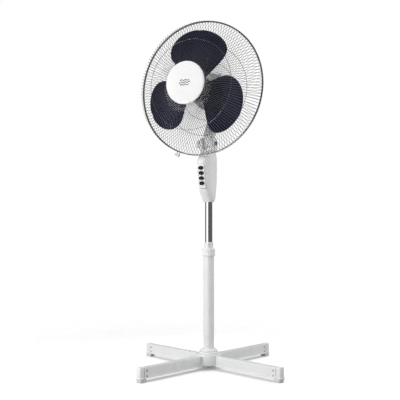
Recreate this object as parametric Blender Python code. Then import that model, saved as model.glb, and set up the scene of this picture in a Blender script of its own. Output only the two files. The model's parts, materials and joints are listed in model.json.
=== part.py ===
"""Pedestal fan: crossed folded-steel bars, telescopic column, push-button housing, tilting and
oscillating head with a wire cage. Metres, +Z up, origin on the floor under the column, head facing -Y.

Each named object is one physical piece. Each moving group hangs from an empty on its joint's axis.
"""

from math import atan2, cos, pi, radians, sin, sqrt

import bmesh
import bpy
from mathutils import Vector

GAP = 0.0003  # left between pieces that touch

# Cage and head
RIM_RADIUS = 0.2285
HEAD_Z = 0.950
RIM_Y = -0.062
WIRE_INSET = 0.0035  # from the rim's radius in to the grilles' straps
WALL_DEPTH = 0.022  # straight wall of the front grille before its dome
DOME_DEPTH = 0.106  # from the rim plane to the front grille's inner ring
BADGE_RADIUS = 0.069
BADGE_DEPTH = 0.112  # from the rim plane to the badge's face
MID_RING_RADIUS = 0.150
REAR_PLATE_RADIUS = 0.090  # the rear grille is flat inside this radius
REAR_FULLNESS = 1.3  # how its curve runs on out to the rim
RING_WIDTH = 0.0035
BAND_HALF_WIDTH = 0.003
CLAMP_ANGLE = radians(248)
CLAMP_GAP = 0.004  # between the band's two lugs
LUG_THICKNESS = 0.005
LUG_REACH = 0.0165
GRILLE_WIRE = 0.003
SPOKES = 20

# Rotor
BLADES = 3
BLADE_RADIUS = 0.1905
BLADE_HUB_RADIUS = 0.043
BLADE_SHOULDER = 0.115  # the radius at which a blade is widest
BLADE_Y = -0.094
BLADE_ADVANCE = 0.030  # axial advance of the blade surface per radian
BLADE_CAMBER = 0.004
BLADE_THICKNESS = 0.0025
FIRST_BLADE = radians(86)
LEADING_EDGE = (radians(41.5), 3.3)  # half width as an angle, and how full the corner is
TRAILING_EDGE = (radians(44.5), 1.8)
ROOT_SHARE = 0.88  # of the full half width, at the hub
SHAFT_RADIUS = 0.004

# Motor and oscillation gear
MOTOR_RADIUS = 0.042
MOTOR_FRONT_Y = -0.006
MOTOR_REAR_Y = 0.060
COVER_RADIUS = 0.064
COVER_WALL = 0.0025
GEARBOX_REAR_Y = 0.110
GEARBOX_WALL = 0.0035
PIVOT_Y = 0.030
ARM_BOTTOM_Z = 0.899
ARM_TOP_Z = 0.9075
PIVOT_RADIUS = 0.009
WHEEL_X, WHEEL_Y = 0.0150, 0.077
WHEEL_TEETH = 32
PINION_TEETH = 8
CRANK_X, CRANK_Y = 0.0205, 0.0925
CRANK_TEETH = 56
CRANK_THROW = 0.0165
CLUTCH_Y = 0.088
LUG_X = 0.027  # fixed end of the crank link, beside the oscillation pivot
LINK_LOW_Z, LINK_HIGH_Z = 0.8770, 0.8817
LINK_PIN_RADIUS = 0.0025

# Column
TILT_Z = 0.768
TILT_BOLT_RADIUS = 0.004
YOKE_INNER_X, YOKE_OUTER_X = 0.0130, 0.0245
YOKE_RADIUS = 0.022
YOKE_LOW_Z = 0.7415
YOKE_HALF_DEPTH = 0.0175  # of the cheeks below the tilt bolt
SOCKET_RADIUS = 0.0171  # the yoke's round foot, in the top of the housing
SOCKET_LOW_Z = 0.724
TONGUE_RADIUS = 0.0130
TONGUE_HALF = YOKE_INNER_X - 0.0004
KNOB_X = -0.031  # where the tilt knob's grip begins
HOUSING_BOTTOM_Z = 0.5665
BUTTON_PITCH = 0.0172
LOWEST_BUTTON_Z = 0.629
BUTTON_HALF_WIDTH = 0.0085
BUTTON_HALF_HEIGHT = 0.00625
BUTTON_COUNT = 4
INNER_TUBE_RADIUS = 0.0124
INNER_TUBE_BOTTOM_Z = 0.230
INNER_TUBE_TOP_Z = 0.612
INNER_TUBE_WALL = 0.0012
OUTER_TUBE_RADIUS = 0.018
OUTER_TUBE_TOP_Z = 0.383
OUTER_TUBE_BOTTOM_Z = 0.0583
TUBE_WALL = 0.0014
SLEEVE_TOP_Z = 0.4290
NUT_LOW_Z, NUT_HIGH_Z = 0.3815, 0.4068
NUT_RADIUS = 0.0212

# Base
BASE_TURN = radians(28)
BAR_LENGTH = 0.592
BAR_WIDTH = 0.020
BAR_BOTTOM_Z = 0.012
BAR_TOP_Z = 0.046
BAR_LIP = 0.004
STEEL = 0.0015
LAP_Z = 0.029  # where the two bars' notches meet
END_CAP_LENGTH = 0.020
END_CAP_ROUND = 0.006
FOOT_OUT = 0.005  # from a bar's end out to the middle of its foot pad
HUB_RADIUS = 0.044
HUB_BOTTOM_Z, HUB_TOP_Z = 0.013, 0.0498
FLANGE_RADIUS = 0.034
FLANGE_TOP_Z = 0.0575
COLLAR_RADIUS = 0.0285
COLLAR_TOP_Z = 0.0665
BASE_BOLT_RADIUS = 0.004

# name: (colour, roughness, metallic)
FINISHES = {
    "white_steel": ((0.86, 0.87, 0.88), 0.32, 0.0),
    "white_plastic": ((0.88, 0.89, 0.89), 0.38, 0.0),
    "white_gloss": ((0.90, 0.90, 0.90), 0.18, 0.0),
    "plated_wire": ((0.70, 0.71, 0.73), 0.20, 1.0),
    "blade_plastic": ((0.035, 0.036, 0.060), 0.22, 0.0),
    "black_plastic": ((0.02, 0.02, 0.025), 0.35, 0.0),
    "chrome": ((0.80, 0.81, 0.83), 0.08, 1.0),
    "zinc_steel": ((0.62, 0.63, 0.65), 0.35, 1.0),
    "cast_alloy": ((0.55, 0.56, 0.57), 0.50, 1.0),
    "laminated_steel": ((0.30, 0.31, 0.33), 0.45, 1.0),
    "nylon": ((0.83, 0.80, 0.70), 0.50, 0.0),
    "rubber": ((0.55, 0.56, 0.58), 0.80, 0.0),
}

places = {None: Vector((0, 0, 0))}  # where each empty is, in world coordinates


def empty(name, at, parent=None):
    """An axis that pieces hang from."""
    axis = bpy.data.objects.new(name, None)
    axis.empty_display_size = 0.03
    axis.parent = parent
    axis.location = Vector(at) - places[parent and parent.name]
    places[name] = Vector(at)
    bpy.context.collection.objects.link(axis)
    return axis


def finish_of(name, finish):
    colour, roughness, metallic = FINISHES[finish]
    material = bpy.data.materials.new(name)
    material.use_nodes = True
    shader = material.node_tree.nodes["Principled BSDF"]
    shader.inputs["Base Color"].default_value = (*colour, 1)
    shader.inputs["Roughness"].default_value = roughness
    shader.inputs["Metallic"].default_value = metallic
    material.diffuse_color = (*colour, 1)
    return material


def piece(name, body, finish, at=(0, 0, 0), parent=None, turn=(0, 0, 0)):
    """One named object from a bmesh whose own origin goes to `at`, in world coordinates."""
    bmesh.ops.recalc_face_normals(body, faces=body.faces)
    mesh = bpy.data.meshes.new(name)
    body.to_mesh(mesh)
    body.free()
    mesh.shade_smooth()
    mesh.set_sharp_from_angle(angle=radians(35))
    mesh.materials.append(finish_of(name, finish))
    obj = bpy.data.objects.new(name, mesh)
    obj.parent = parent
    obj.location = Vector(at) - places[parent and parent.name]
    obj.rotation_euler = turn
    bpy.context.collection.objects.link(obj)
    return obj


def combine(obj, body, operation, at, turn):
    """Joins a body to an object, or cuts it out, at a place in the world; it stays as a hidden helper."""
    mesh = bpy.data.meshes.new(obj.name + "_helper")
    bmesh.ops.recalc_face_normals(body, faces=body.faces)
    body.to_mesh(mesh)
    body.free()
    helper = bpy.data.objects.new(obj.name + "_helper", mesh)
    helper.hide_render = True
    helper.display_type = "WIRE"
    helper.location = at
    helper.rotation_euler = turn
    bpy.context.collection.objects.link(helper)
    modifier = obj.modifiers.new(operation.lower(), "BOOLEAN")
    modifier.operation = operation
    modifier.solver = "EXACT"
    modifier.object = helper
    return obj


def join(obj, body, at=(0, 0, 0), turn=(0, 0, 0)):
    return combine(obj, body, "UNION", at, turn)


def cut(obj, body, at=(0, 0, 0), turn=(0, 0, 0)):
    return combine(obj, body, "DIFFERENCE", at, turn)


def lathe(profile, steps=20):
    """A body turned about Z from (radius, height) points; radius 0 at both ends, or a closed loop."""
    body = bmesh.new()
    closed = profile[0][0] > 0
    rows = []
    for radius, height in profile:
        if radius == 0:
            rows.append([body.verts.new((0, 0, height))])
            continue
        angles = [2 * pi * i / steps for i in range(steps)]
        rows.append([body.verts.new((radius * cos(a), radius * sin(a), height)) for a in angles])
    pairs = list(zip(rows, rows[1:]))
    if closed:
        pairs.append((rows[-1], rows[0]))
    for first, second in pairs:
        if len(first) == len(second) == 1:
            continue
        for i in range(steps):
            j = (i + 1) % steps
            corners = [first[i % len(first)], first[j % len(first)]]
            corners += [second[j % len(second)], second[i % len(second)]]
            body.faces.new(list(dict.fromkeys(corners)))
    return body


def rod(radius, low, high, steps=16):
    return lathe([(0, low), (radius, low), (radius, high), (0, high)], steps)


def oval_rod(half_width, half_height, low, high, steps=20):
    """A rod along Z whose section is an ellipse, wide along X."""
    body = rod(half_height, low, high, steps)
    bmesh.ops.scale(body, vec=(half_width / half_height, 1, 1), verts=body.verts)
    return body


def ring(inner, outer, low, high, steps=24):
    return lathe([(inner, low), (outer, low), (outer, high), (inner, high)], steps)


def prism(outline, low, high):
    """An outline in X and Y, extruded along Z."""
    body = bmesh.new()
    bottom = [body.verts.new((x, y, low)) for x, y in outline]
    top = [body.verts.new((x, y, high)) for x, y in outline]
    body.faces.new(bottom)
    body.faces.new(top)
    for i in range(len(outline)):
        j = (i + 1) % len(outline)
        body.faces.new((bottom[i], bottom[j], top[j], top[i]))
    return body


def block(low, high):
    outline = [(low[0], low[1]), (high[0], low[1]), (high[0], high[1]), (low[0], high[1])]
    return prism(outline, low[2], high[2])


def rounded_outline(half_x, half_y, radius, steps=4):
    """A rectangle with round corners about the origin."""
    points = []
    for corner, (sx, sy) in enumerate(((1, 1), (-1, 1), (-1, -1), (1, -1))):
        for i in range(steps + 1):
            angle = (corner + i / steps) * pi / 2
            x = sx * (half_x - radius) + radius * cos(angle)
            y = sy * (half_y - radius) + radius * sin(angle)
            points.append((x, y))
    return points


def loft(sections):
    """A body through closed sections, each a list of as many (x, y, z) points."""
    body = bmesh.new()
    rows = [[body.verts.new(p) for p in section] for section in sections]
    for first, second in zip(rows, rows[1:]):
        for i in range(len(first)):
            j = (i + 1) % len(first)
            body.faces.new((first[i], first[j], second[j], second[i]))
    body.faces.new(rows[0])
    body.faces.new(rows[-1])
    return body


def gear_outline(radius, teeth, depth):
    points = []
    for i in range(2 * teeth):
        reach = radius if i % 2 else radius - depth
        angle = pi * i / teeth
        points.append((reach * cos(angle), reach * sin(angle)))
    return points


TOWARDS_VIEW = (pi / 2, 0, 0)  # turns a body's +Z to -Y
TOWARDS_BACK = (-pi / 2, 0, 0)  # turns a body's +Z to +Y
TOWARDS_RIGHT = (0, pi / 2, 0)  # turns a body's +Z to +X
TOWARDS_LEFT = (0, -pi / 2, 0)  # turns a body's +Z to -X


# ---------------------------------------------------------------- base


def bar_profile():
    """A folded channel, open below, with its bottom edges turned outwards."""
    half = BAR_WIDTH / 2
    lip = half + BAR_LIP
    low, high = BAR_BOTTOM_Z, BAR_TOP_Z
    right = [(lip, low), (lip, low + STEEL), (half, low + STEEL), (half, high)]
    inner = [(half - STEEL, high - STEEL), (half - STEEL, low)]
    outline = right + [(-y, z) for y, z in reversed(right)]
    outline += [(-y, z) for y, z in reversed(inner)] + inner
    return outline


def bar(name, angle, notch_low, notch_high):
    half = BAR_LENGTH / 2
    sections = [[(x, y, z) for y, z in bar_profile()] for x in (-half, half)]
    obj = piece(name, loft(sections), "white_steel", turn=(0, 0, angle))
    reach = BAR_WIDTH / 2 + BAR_LIP + 2 * GAP
    cut(obj, block((-reach, -0.03, notch_low), (reach, 0.03, notch_high)), turn=(0, 0, angle))
    return obj


def base_bars():
    lower = bar("base_bar_lower", BASE_TURN + radians(45), LAP_Z, BAR_TOP_Z + 0.01)
    upper = bar("base_bar_upper", BASE_TURN - radians(45), 0.0, LAP_Z + GAP)
    cut(upper, rod(BASE_BOLT_RADIUS + 0.0005, LAP_Z, BAR_TOP_Z + 0.01))
    return lower, upper


def end_cap_outline():
    """The cap seen from above: straight across the bar's end, with two round outer corners."""
    half = BAR_WIDTH / 2 + 0.0005
    outline = [(GAP, -half), (GAP, half)]
    for corner, start in ((1, 90), (-1, 0)):
        for step in range(5):
            turn = radians(start - 22.5 * step)
            x = END_CAP_LENGTH - END_CAP_ROUND + END_CAP_ROUND * cos(turn)
            y = corner * (half - END_CAP_ROUND) + END_CAP_ROUND * sin(turn)
            outline.append((x, y))
    return outline


def end_caps():
    half = BAR_LENGTH / 2
    for i in range(4):
        angle = BASE_TURN + radians(45 + 90 * i)
        cap_at, turned = (half * cos(angle), half * sin(angle), 0), (0, 0, angle)
        body = prism(end_cap_outline(), BAR_BOTTOM_Z, BAR_TOP_Z + 0.0008)
        cap = piece(f"end_cap_{i + 1}", body, "white_plastic", cap_at, turn=turned)
        tongue_half = BAR_WIDTH / 2 - STEEL - GAP
        low, high = BAR_BOTTOM_Z + 0.003, BAR_TOP_Z - STEEL - GAP
        tongue = block((-0.022, -tongue_half, low), (0.002, tongue_half, high))
        join(cap, tongue, cap_at, turned)

        pad = prism(rounded_outline(0.013, 0.0115, 0.005), 0, BAR_BOTTOM_Z - GAP)
        bmesh.ops.bevel(
            pad,
            geom=[e for e in pad.edges if all(v.co.z < 1e-6 for v in e.verts)],
            offset=0.0015,
            segments=2,
            affect="EDGES",
        )
        out = half + FOOT_OUT
        pad_at = (out * cos(angle), out * sin(angle), 0)
        piece(f"foot_pad_{i + 1}", pad, "rubber", pad_at, turn=turned)


def base_hub():
    bolt_hole = BASE_BOLT_RADIUS + 0.0005
    hub = piece("base_hub", rod(HUB_RADIUS, HUB_BOTTOM_Z, HUB_TOP_Z, 32), "white_plastic")
    slot = BAR_WIDTH / 2 + BAR_LIP + GAP
    wall = BAR_WIDTH / 2 + GAP
    for quarter in (45, 135):
        turn = (0, 0, BASE_TURN + radians(quarter))
        cut(hub, block((-0.06, -wall, 0), (0.06, wall, BAR_TOP_Z + GAP)), turn=turn)
        cut(hub, block((-0.06, -slot, 0), (0.06, slot, BAR_BOTTOM_Z + STEEL + GAP)), turn=turn)
    cut(hub, rod(bolt_hole, LAP_Z, HUB_TOP_Z + 0.01))

    low, high = HUB_TOP_Z + GAP, FLANGE_TOP_Z
    flange = [(bolt_hole, low), (FLANGE_RADIUS, low), (FLANGE_RADIUS, high - 0.002),
              (FLANGE_RADIUS - 0.001, high), (bolt_hole, high)]
    piece("hub_flange", lathe(flange, 32), "white_plastic")

    inner, low, high = OUTER_TUBE_RADIUS + GAP, FLANGE_TOP_Z + GAP, COLLAR_TOP_Z
    collar = [(inner, low), (COLLAR_RADIUS, low), (COLLAR_RADIUS, high - 0.004),
              (COLLAR_RADIUS - 0.0015, high - 0.0015), (COLLAR_RADIUS - 0.005, high), (inner, high)]
    piece("tube_collar", lathe(collar, 32), "white_plastic")

    # A steel disc closes the hub from below, and one long bolt holds hub, bars and tube together.
    disc_top = BAR_BOTTOM_Z - GAP
    piece("base_clamp_disc", ring(bolt_hole, 0.030, disc_top - 0.0027, disc_top), "zinc_steel")
    head_top = disc_top - 0.0030
    bolt = piece("base_bolt", rod(BASE_BOLT_RADIUS, head_top - 0.0001, 0.0760, 12), "zinc_steel")
    join(bolt, rod(0.0075, head_top - 0.0057, head_top, 6))
    bore, plug_radius = BASE_BOLT_RADIUS + GAP, OUTER_TUBE_RADIUS - TUBE_WALL - GAP
    piece("tube_plug", ring(bore, plug_radius, OUTER_TUBE_BOTTOM_Z, 0.079, 16), "nylon")


# ---------------------------------------------------------------- column


def outer_tube():
    inner = OUTER_TUBE_RADIUS - TUBE_WALL
    body = ring(inner, OUTER_TUBE_RADIUS, OUTER_TUBE_BOTTOM_Z, OUTER_TUBE_TOP_Z, 32)
    piece("outer_tube", body, "white_steel")


def height_lock(nut_axis):
    """The split sleeve that grips the inner tube, and the ribbed nut that squeezes it."""
    bore = INNER_TUBE_RADIUS + GAP
    top = OUTER_TUBE_TOP_Z
    plug = OUTER_TUBE_RADIUS - TUBE_WALL - GAP
    shoulder_top = top + 0.0047
    neck_radius, tip_radius = 0.0160, 0.0154
    sleeve = [(bore, top - 0.025), (plug, top - 0.025), (plug, top + GAP), (OUTER_TUBE_RADIUS, top + GAP),
              (OUTER_TUBE_RADIUS, shoulder_top), (neck_radius, shoulder_top), (neck_radius, NUT_HIGH_Z),
              (tip_radius, NUT_HIGH_Z + 0.0012), (tip_radius, SLEEVE_TOP_Z - 0.002),
              (tip_radius - 0.0009, SLEEVE_TOP_Z), (bore, SLEEVE_TOP_Z)]
    body = piece("height_sleeve", lathe(sleeve, 24), "white_plastic")
    cut(body, block((-0.001, -0.03, 0.400), (0.001, 0.03, SLEEVE_TOP_Z + 0.01)))

    # The nut hangs over the tube's top; its grip is a ring of round ribs.
    ribs, steps, rib_height = 18, 4, 0.0010
    outline = []
    for i in range(ribs * steps):
        angle = 2 * pi * i / (ribs * steps)
        reach = NUT_RADIUS + rib_height * abs(sin(ribs * angle / 2))
        outline.append((reach * cos(angle), reach * sin(angle)))
    nut = piece("height_nut", prism(outline, NUT_LOW_Z, NUT_HIGH_Z), "white_plastic", parent=nut_axis)
    cut(nut, rod(OUTER_TUBE_RADIUS + 0.0005, NUT_LOW_Z - 0.01, shoulder_top + 0.0004, 24))
    cut(nut, rod(neck_radius + 0.0004, NUT_LOW_Z - 0.01, NUT_HIGH_Z + 0.01, 24))


def inner_tube(guide_axis, column_axis):
    bottom = INNER_TUBE_BOTTOM_Z
    inner = INNER_TUBE_RADIUS - INNER_TUBE_WALL
    body = ring(inner, INNER_TUBE_RADIUS, bottom, INNER_TUBE_TOP_Z, 24)
    piece("inner_tube", body, "chrome", parent=column_axis)
    hole, length, spigot = 0.006, 0.018, 0.012
    bush_radius = OUTER_TUBE_RADIUS - TUBE_WALL - GAP
    bush = [(hole, bottom - length), (bush_radius, bottom - length), (bush_radius, bottom - GAP),
            (inner - GAP, bottom - GAP), (inner - GAP, bottom + spigot), (hole, bottom + spigot)]
    piece("tube_bush", lathe(bush, 20), "nylon", parent=guide_axis)


# Height, half width, reach to the front, reach to the back
HOUSING_SECTIONS = (
    (HOUSING_BOTTOM_Z, 0.0160, 0.0160, 0.0160),
    (0.576, 0.0200, 0.0225, 0.0200),
    (0.594, 0.0225, 0.0340, 0.0235),
    (0.612, 0.0240, 0.0440, 0.0260),
    (0.635, 0.0250, 0.0515, 0.0275),
    (0.665, 0.0258, 0.0560, 0.0280),
    (0.695, 0.0260, 0.0590, 0.0280),
    (0.709, 0.0260, 0.0580, 0.0280),
    (0.721, 0.0250, 0.0480, 0.0272),
    (0.732, 0.0232, 0.0370, 0.0255),
    (0.741, 0.0210, 0.0260, 0.0230),
)
HOUSING_WALL = 0.0025
HOUSING_SPLIT_Y = 0.0035  # the seam between the two shells
SQUARENESS = 0.82  # under 1 makes the housing's sections fuller than ellipses


def housing_section(height, half_width, front, back, inset=0.0, points=20):
    section = []
    for i in range(points):
        angle = 2 * pi * i / points
        s, c = sin(angle), cos(angle)
        x = (half_width - inset) * (abs(s) ** SQUARENESS) * (1 if s > 0 else -1)
        reach = front if c > 0 else back
        y = -(reach - inset) * (abs(c) ** SQUARENESS) * (1 if c > 0 else -1)
        section.append((x, y, height))
    return section


def housing_body():
    return loft([housing_section(*row) for row in HOUSING_SECTIONS])


def housing_hollow():
    rows = []
    for height, width, front, back in HOUSING_SECTIONS[1:]:
        rows.append(housing_section(height, width, front, back, HOUSING_WALL))
    low = rows[0][0][2]
    high = rows[-1][0][2]
    rows = [[(x, y, z if z < high else high - HOUSING_WALL) for x, y, z in row] for row in rows]
    rows[0] = [(x, y, low) for x, y, z in rows[0]]
    return loft(rows)


# The button panel is a flat plate, leaning with the housing's front.
PANEL_LOW_Z = 0.611
PANEL_HIGH_Z = 0.6975
PANEL_HALF_WIDTH = 0.0125
PANEL_LOW_Y = -0.0472
PANEL_HIGH_Y = -0.0605
PANEL_THICKNESS = 0.0070
PANEL_LEAN = atan2(PANEL_LOW_Y - PANEL_HIGH_Y, PANEL_HIGH_Z - PANEL_LOW_Z)


def panel_y(height):
    share = (height - PANEL_LOW_Z) / (PANEL_HIGH_Z - PANEL_LOW_Z)
    return PANEL_LOW_Y + share * (PANEL_HIGH_Y - PANEL_LOW_Y)


def panel_body(clearance, proud, thickness):
    """The plate with its round top, from `proud` ahead of its face to `thickness` behind it along Y."""
    half = PANEL_HALF_WIDTH + clearance
    low, high = PANEL_LOW_Z - clearance, PANEL_HIGH_Z + clearance
    outline = [(-half, low), (half, low)]
    outline += [(half * cos(pi * i / 8), high - half + half * sin(pi * i / 8)) for i in range(9)]
    front = [(x, panel_y(z) - proud, z) for x, z in outline]
    back = [(x, panel_y(z) + thickness, z) for x, z in outline]
    return loft([front, back])


def button_heights():
    return [LOWEST_BUTTON_Z + BUTTON_PITCH * i for i in range(BUTTON_COUNT)]


def control_housing(column_axis):
    front = piece("control_housing_front", housing_body(), "white_plastic", parent=column_axis)
    rear = piece("control_housing_rear", housing_body(), "white_plastic", parent=column_axis)
    for shell in (front, rear):
        cut(shell, housing_hollow())
        cut(shell, rod(INNER_TUBE_RADIUS + GAP, 0.55, 0.60, 24))
        cut(shell, rod(SOCKET_RADIUS + GAP, 0.72, 0.76, 24))
    cut(front, block((-0.1, HOUSING_SPLIT_Y, 0.5), (0.1, 0.1, 0.8)))
    cut(rear, block((-0.1, -0.1, 0.5), (0.1, HOUSING_SPLIT_Y + GAP, 0.8)))
    cut(front, panel_body(GAP, 0.01, 0.02))

    panel = piece("button_panel", panel_body(0.0, 0.0, PANEL_THICKNESS), "white_gloss", parent=column_axis)
    for height in button_heights():
        hole = oval_rod(BUTTON_HALF_WIDTH + GAP, BUTTON_HALF_HEIGHT + GAP, -0.08, -0.03)
        cut(panel, hole, at=(0, 0, height), turn=TOWARDS_BACK)

    piece("switch_block", block((-0.0125, -0.0365, 0.616), (0.0125, -0.0165, 0.697)), "black_plastic",
          parent=column_axis)
    capacitor = prism(rounded_outline(0.013, 0.008, 0.003), 0.650, 0.696)
    piece("run_capacitor", capacitor, "black_plastic", (0, 0.004, 0), column_axis)

    # The cord's inlet at the back, low on the rear shell.
    inlet_z = 0.622
    grommet = [(0.0035, 0.0200), (0.0062, 0.0200), (0.0062, 0.0285), (0.0085, 0.0285),
               (0.0075, 0.0325), (0.0055, 0.0350), (0.0035, 0.0350)]
    cut(rear, rod(0.0062 + GAP, 0.01, 0.05, 14), at=(0, 0, inlet_z), turn=TOWARDS_BACK)
    piece("cord_inlet", lathe(grommet, 14), "rubber", (0, 0, inlet_z), column_axis, TOWARDS_BACK)

    for name, height in (("housing_screw_lower", 0.652), ("housing_screw_upper", 0.706)):
        cut(rear, rod(0.0022, 0.01, 0.05, 10), at=(0, 0, height), turn=TOWARDS_BACK)
        screw = [(0, 0.018), (0.0018, 0.018), (0.0018, 0.0285), (0.0036, 0.0285), (0.0030, 0.0305),
                 (0, 0.0305)]
        piece(name, lathe(screw, 10), "zinc_steel", (0, 0, height), column_axis, TOWARDS_BACK)


def buttons(column_axis):
    """Oval caps, each with a stem flange behind the panel and a crowned face."""
    r = BUTTON_HALF_HEIGHT
    profile = [(0, -0.0082), (0.0040, -0.0082), (r, -0.0078), (r, 0.0042), (r - 0.0010, 0.0060),
               (r - 0.0030, 0.0074), (0, 0.0080)]
    for i, height in enumerate(reversed(button_heights())):
        front = panel_y(height)
        axis = empty(f"button_axis_{i}", (0, front, height), column_axis)
        cap = lathe(profile, 20)
        bmesh.ops.scale(cap, vec=(BUTTON_HALF_WIDTH / r, 1, 1), verts=cap.verts)
        piece(f"speed_button_{i}", cap, "black_plastic", (0, front, height), axis, TOWARDS_VIEW)


# ---------------------------------------------------------------- tilt joint and neck


def tilt_yoke(column_axis):
    foot = rod(SOCKET_RADIUS, SOCKET_LOW_Z, YOKE_LOW_Z + 0.004, 24)
    yoke = piece("tilt_yoke", foot, "white_plastic", parent=column_axis)
    for side in (-1, 1):
        near, far = sorted((side * YOKE_INNER_X, side * YOKE_OUTER_X))
        join(yoke, block((near, -YOKE_HALF_DEPTH, YOKE_LOW_Z), (far, YOKE_HALF_DEPTH, TILT_Z)))
        join(yoke, rod(YOKE_RADIUS, near, far, 24), at=(0, 0, TILT_Z), turn=TOWARDS_RIGHT)
    cut(yoke, rod(TILT_BOLT_RADIUS + GAP, -0.03, 0.03, 12), at=(0, 0, TILT_Z), turn=TOWARDS_RIGHT)
    head_x = YOKE_OUTER_X + GAP
    bolt = piece("tilt_bolt", rod(TILT_BOLT_RADIUS, KNOB_X - 0.0050, head_x + 0.0002, 12), "zinc_steel",
                 (0, 0, TILT_Z), column_axis, TOWARDS_RIGHT)
    join(bolt, rod(0.0070, head_x, head_x + 0.0050, 6), (0, 0, TILT_Z), TOWARDS_RIGHT)


def tilt_knob(knob_axis):
    lobes, depth, thickness = 5, 0.0020, 0.0115
    outline = []
    for i in range(40):
        angle = 2 * pi * i / 40
        reach = 0.0125 + depth * cos(lobes * angle)
        outline.append((reach * cos(angle), reach * sin(angle)))
    grip = prism(outline, -KNOB_X, -KNOB_X + thickness)
    knob = piece("tilt_knob", grip, "white_plastic", (0, 0, TILT_Z), knob_axis, TOWARDS_LEFT)
    join(knob, rod(0.0085, YOKE_OUTER_X + GAP, -KNOB_X + 0.0005, 16), (0, 0, TILT_Z), TOWARDS_LEFT)
    cut(knob, rod(TILT_BOLT_RADIUS + GAP, 0.01, -KNOB_X + 0.0060, 12), (0, 0, TILT_Z), TOWARDS_LEFT)


# Height, how far behind the column's axis, radius
NECK_SECTIONS = (
    (0.7910, 0.0030, 0.0195),
    (0.8020, 0.0080, 0.0215),
    (0.8200, 0.0170, 0.0212),
    (0.8380, 0.0260, 0.0192),
    (0.8500, 0.0290, 0.0176),
    (0.8580, PIVOT_Y, 0.0170),
    (0.8985, PIVOT_Y, 0.0170),
)


def neck(tilt_axis):
    """The column that leans back from the tilt bolt to the oscillation pivot."""
    rows = []
    for height, centre, radius in NECK_SECTIONS:
        angles = [2 * pi * i / 20 for i in range(20)]
        rows.append([(radius * cos(a), centre + radius * sin(a), height) for a in angles])
    obj = piece("neck", loft(rows), "white_plastic", parent=tilt_axis, at=(0, 0, 0))
    depth = TONGUE_RADIUS - 0.0005
    join(obj, block((-TONGUE_HALF, -depth, TILT_Z), (TONGUE_HALF, depth, NECK_SECTIONS[0][0] + 0.003)))
    join(obj, rod(TONGUE_RADIUS, -TONGUE_HALF, TONGUE_HALF, 20), at=(0, 0, TILT_Z), turn=TOWARDS_RIGHT)
    lug_radius = 0.0062
    lug = [(LUG_X + lug_radius * cos(a), PIVOT_Y + lug_radius * sin(a)) for a in
           (radians(-90 + 30 * i) for i in range(7))]
    lug += [(0.012, PIVOT_Y + lug_radius), (0.012, PIVOT_Y - lug_radius)]
    lug_top = LINK_LOW_Z - GAP
    join(obj, prism(lug, lug_top - 0.0087, lug_top))
    join(obj, rod(LINK_PIN_RADIUS, lug_top - 0.0007, LINK_HIGH_Z + 0.0023, 12), at=(LUG_X, PIVOT_Y, 0))
    cut(obj, rod(PIVOT_RADIUS + GAP, 0.848, 0.91, 20), at=(0, PIVOT_Y, 0))
    cut(obj, rod(TILT_BOLT_RADIUS + GAP, -0.03, 0.03, 12), at=(0, 0, TILT_Z), turn=TOWARDS_RIGHT)


# ---------------------------------------------------------------- motor


def along_y(name, profile, finish, parent, steps=24):
    """A body turned about the rotor's axis, from (radius, y) points."""
    return piece(name, lathe(profile, steps), finish, (0, 0, HEAD_Z), parent, TOWARDS_BACK)


def motor(head_axis):
    front, rear, radius = MOTOR_FRONT_Y, MOTOR_REAR_Y, MOTOR_RADIUS
    bearing = 0.0110
    seat = bearing + GAP
    boss = 0.0230
    shaft_hole = SHAFT_RADIUS + 0.0012
    cup = [(shaft_hole, front - 0.016), (boss, front - 0.016), (boss, front), (0.030, front),
           (radius, front + 0.005), (radius, 0.0100), (radius - 0.003, 0.0100),
           (radius - 0.003, front + 0.008), (seat, front + 0.004), (seat, front - 0.008),
           (shaft_hole, front - 0.008)]
    along_y("motor_front_bracket", cup, "cast_alloy", head_axis)
    stator = [(0.0245, 0.0120), (radius - 0.0035, 0.0120), (radius - 0.0035, 0.0103), (radius, 0.0103),
              (radius, 0.0397), (radius - 0.0035, 0.0397), (radius - 0.0035, 0.0380), (0.0245, 0.0380)]
    along_y("stator", stator, "laminated_steel", head_axis)
    back = [(shaft_hole, rear - GAP), (radius - 0.006, rear - GAP), (radius, 0.0520), (radius, 0.0400),
            (radius - 0.003, 0.0400), (radius - 0.003, 0.0510), (seat, 0.0510), (seat, 0.0570),
            (shaft_hole, 0.0570)]
    along_y("motor_rear_bracket", back, "cast_alloy", head_axis)
    bore = SHAFT_RADIUS + GAP
    along_y("front_bearing", [(bore, front - 0.0077), (bearing, front - 0.0077), (bearing, front + 0.0037),
                              (bore, front + 0.0037)], "zinc_steel", head_axis, 16)
    along_y("rear_bearing", [(bore, 0.0480), (bearing, 0.0480), (bearing, 0.0567), (bore, 0.0567)],
            "zinc_steel", head_axis, 16)


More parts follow.
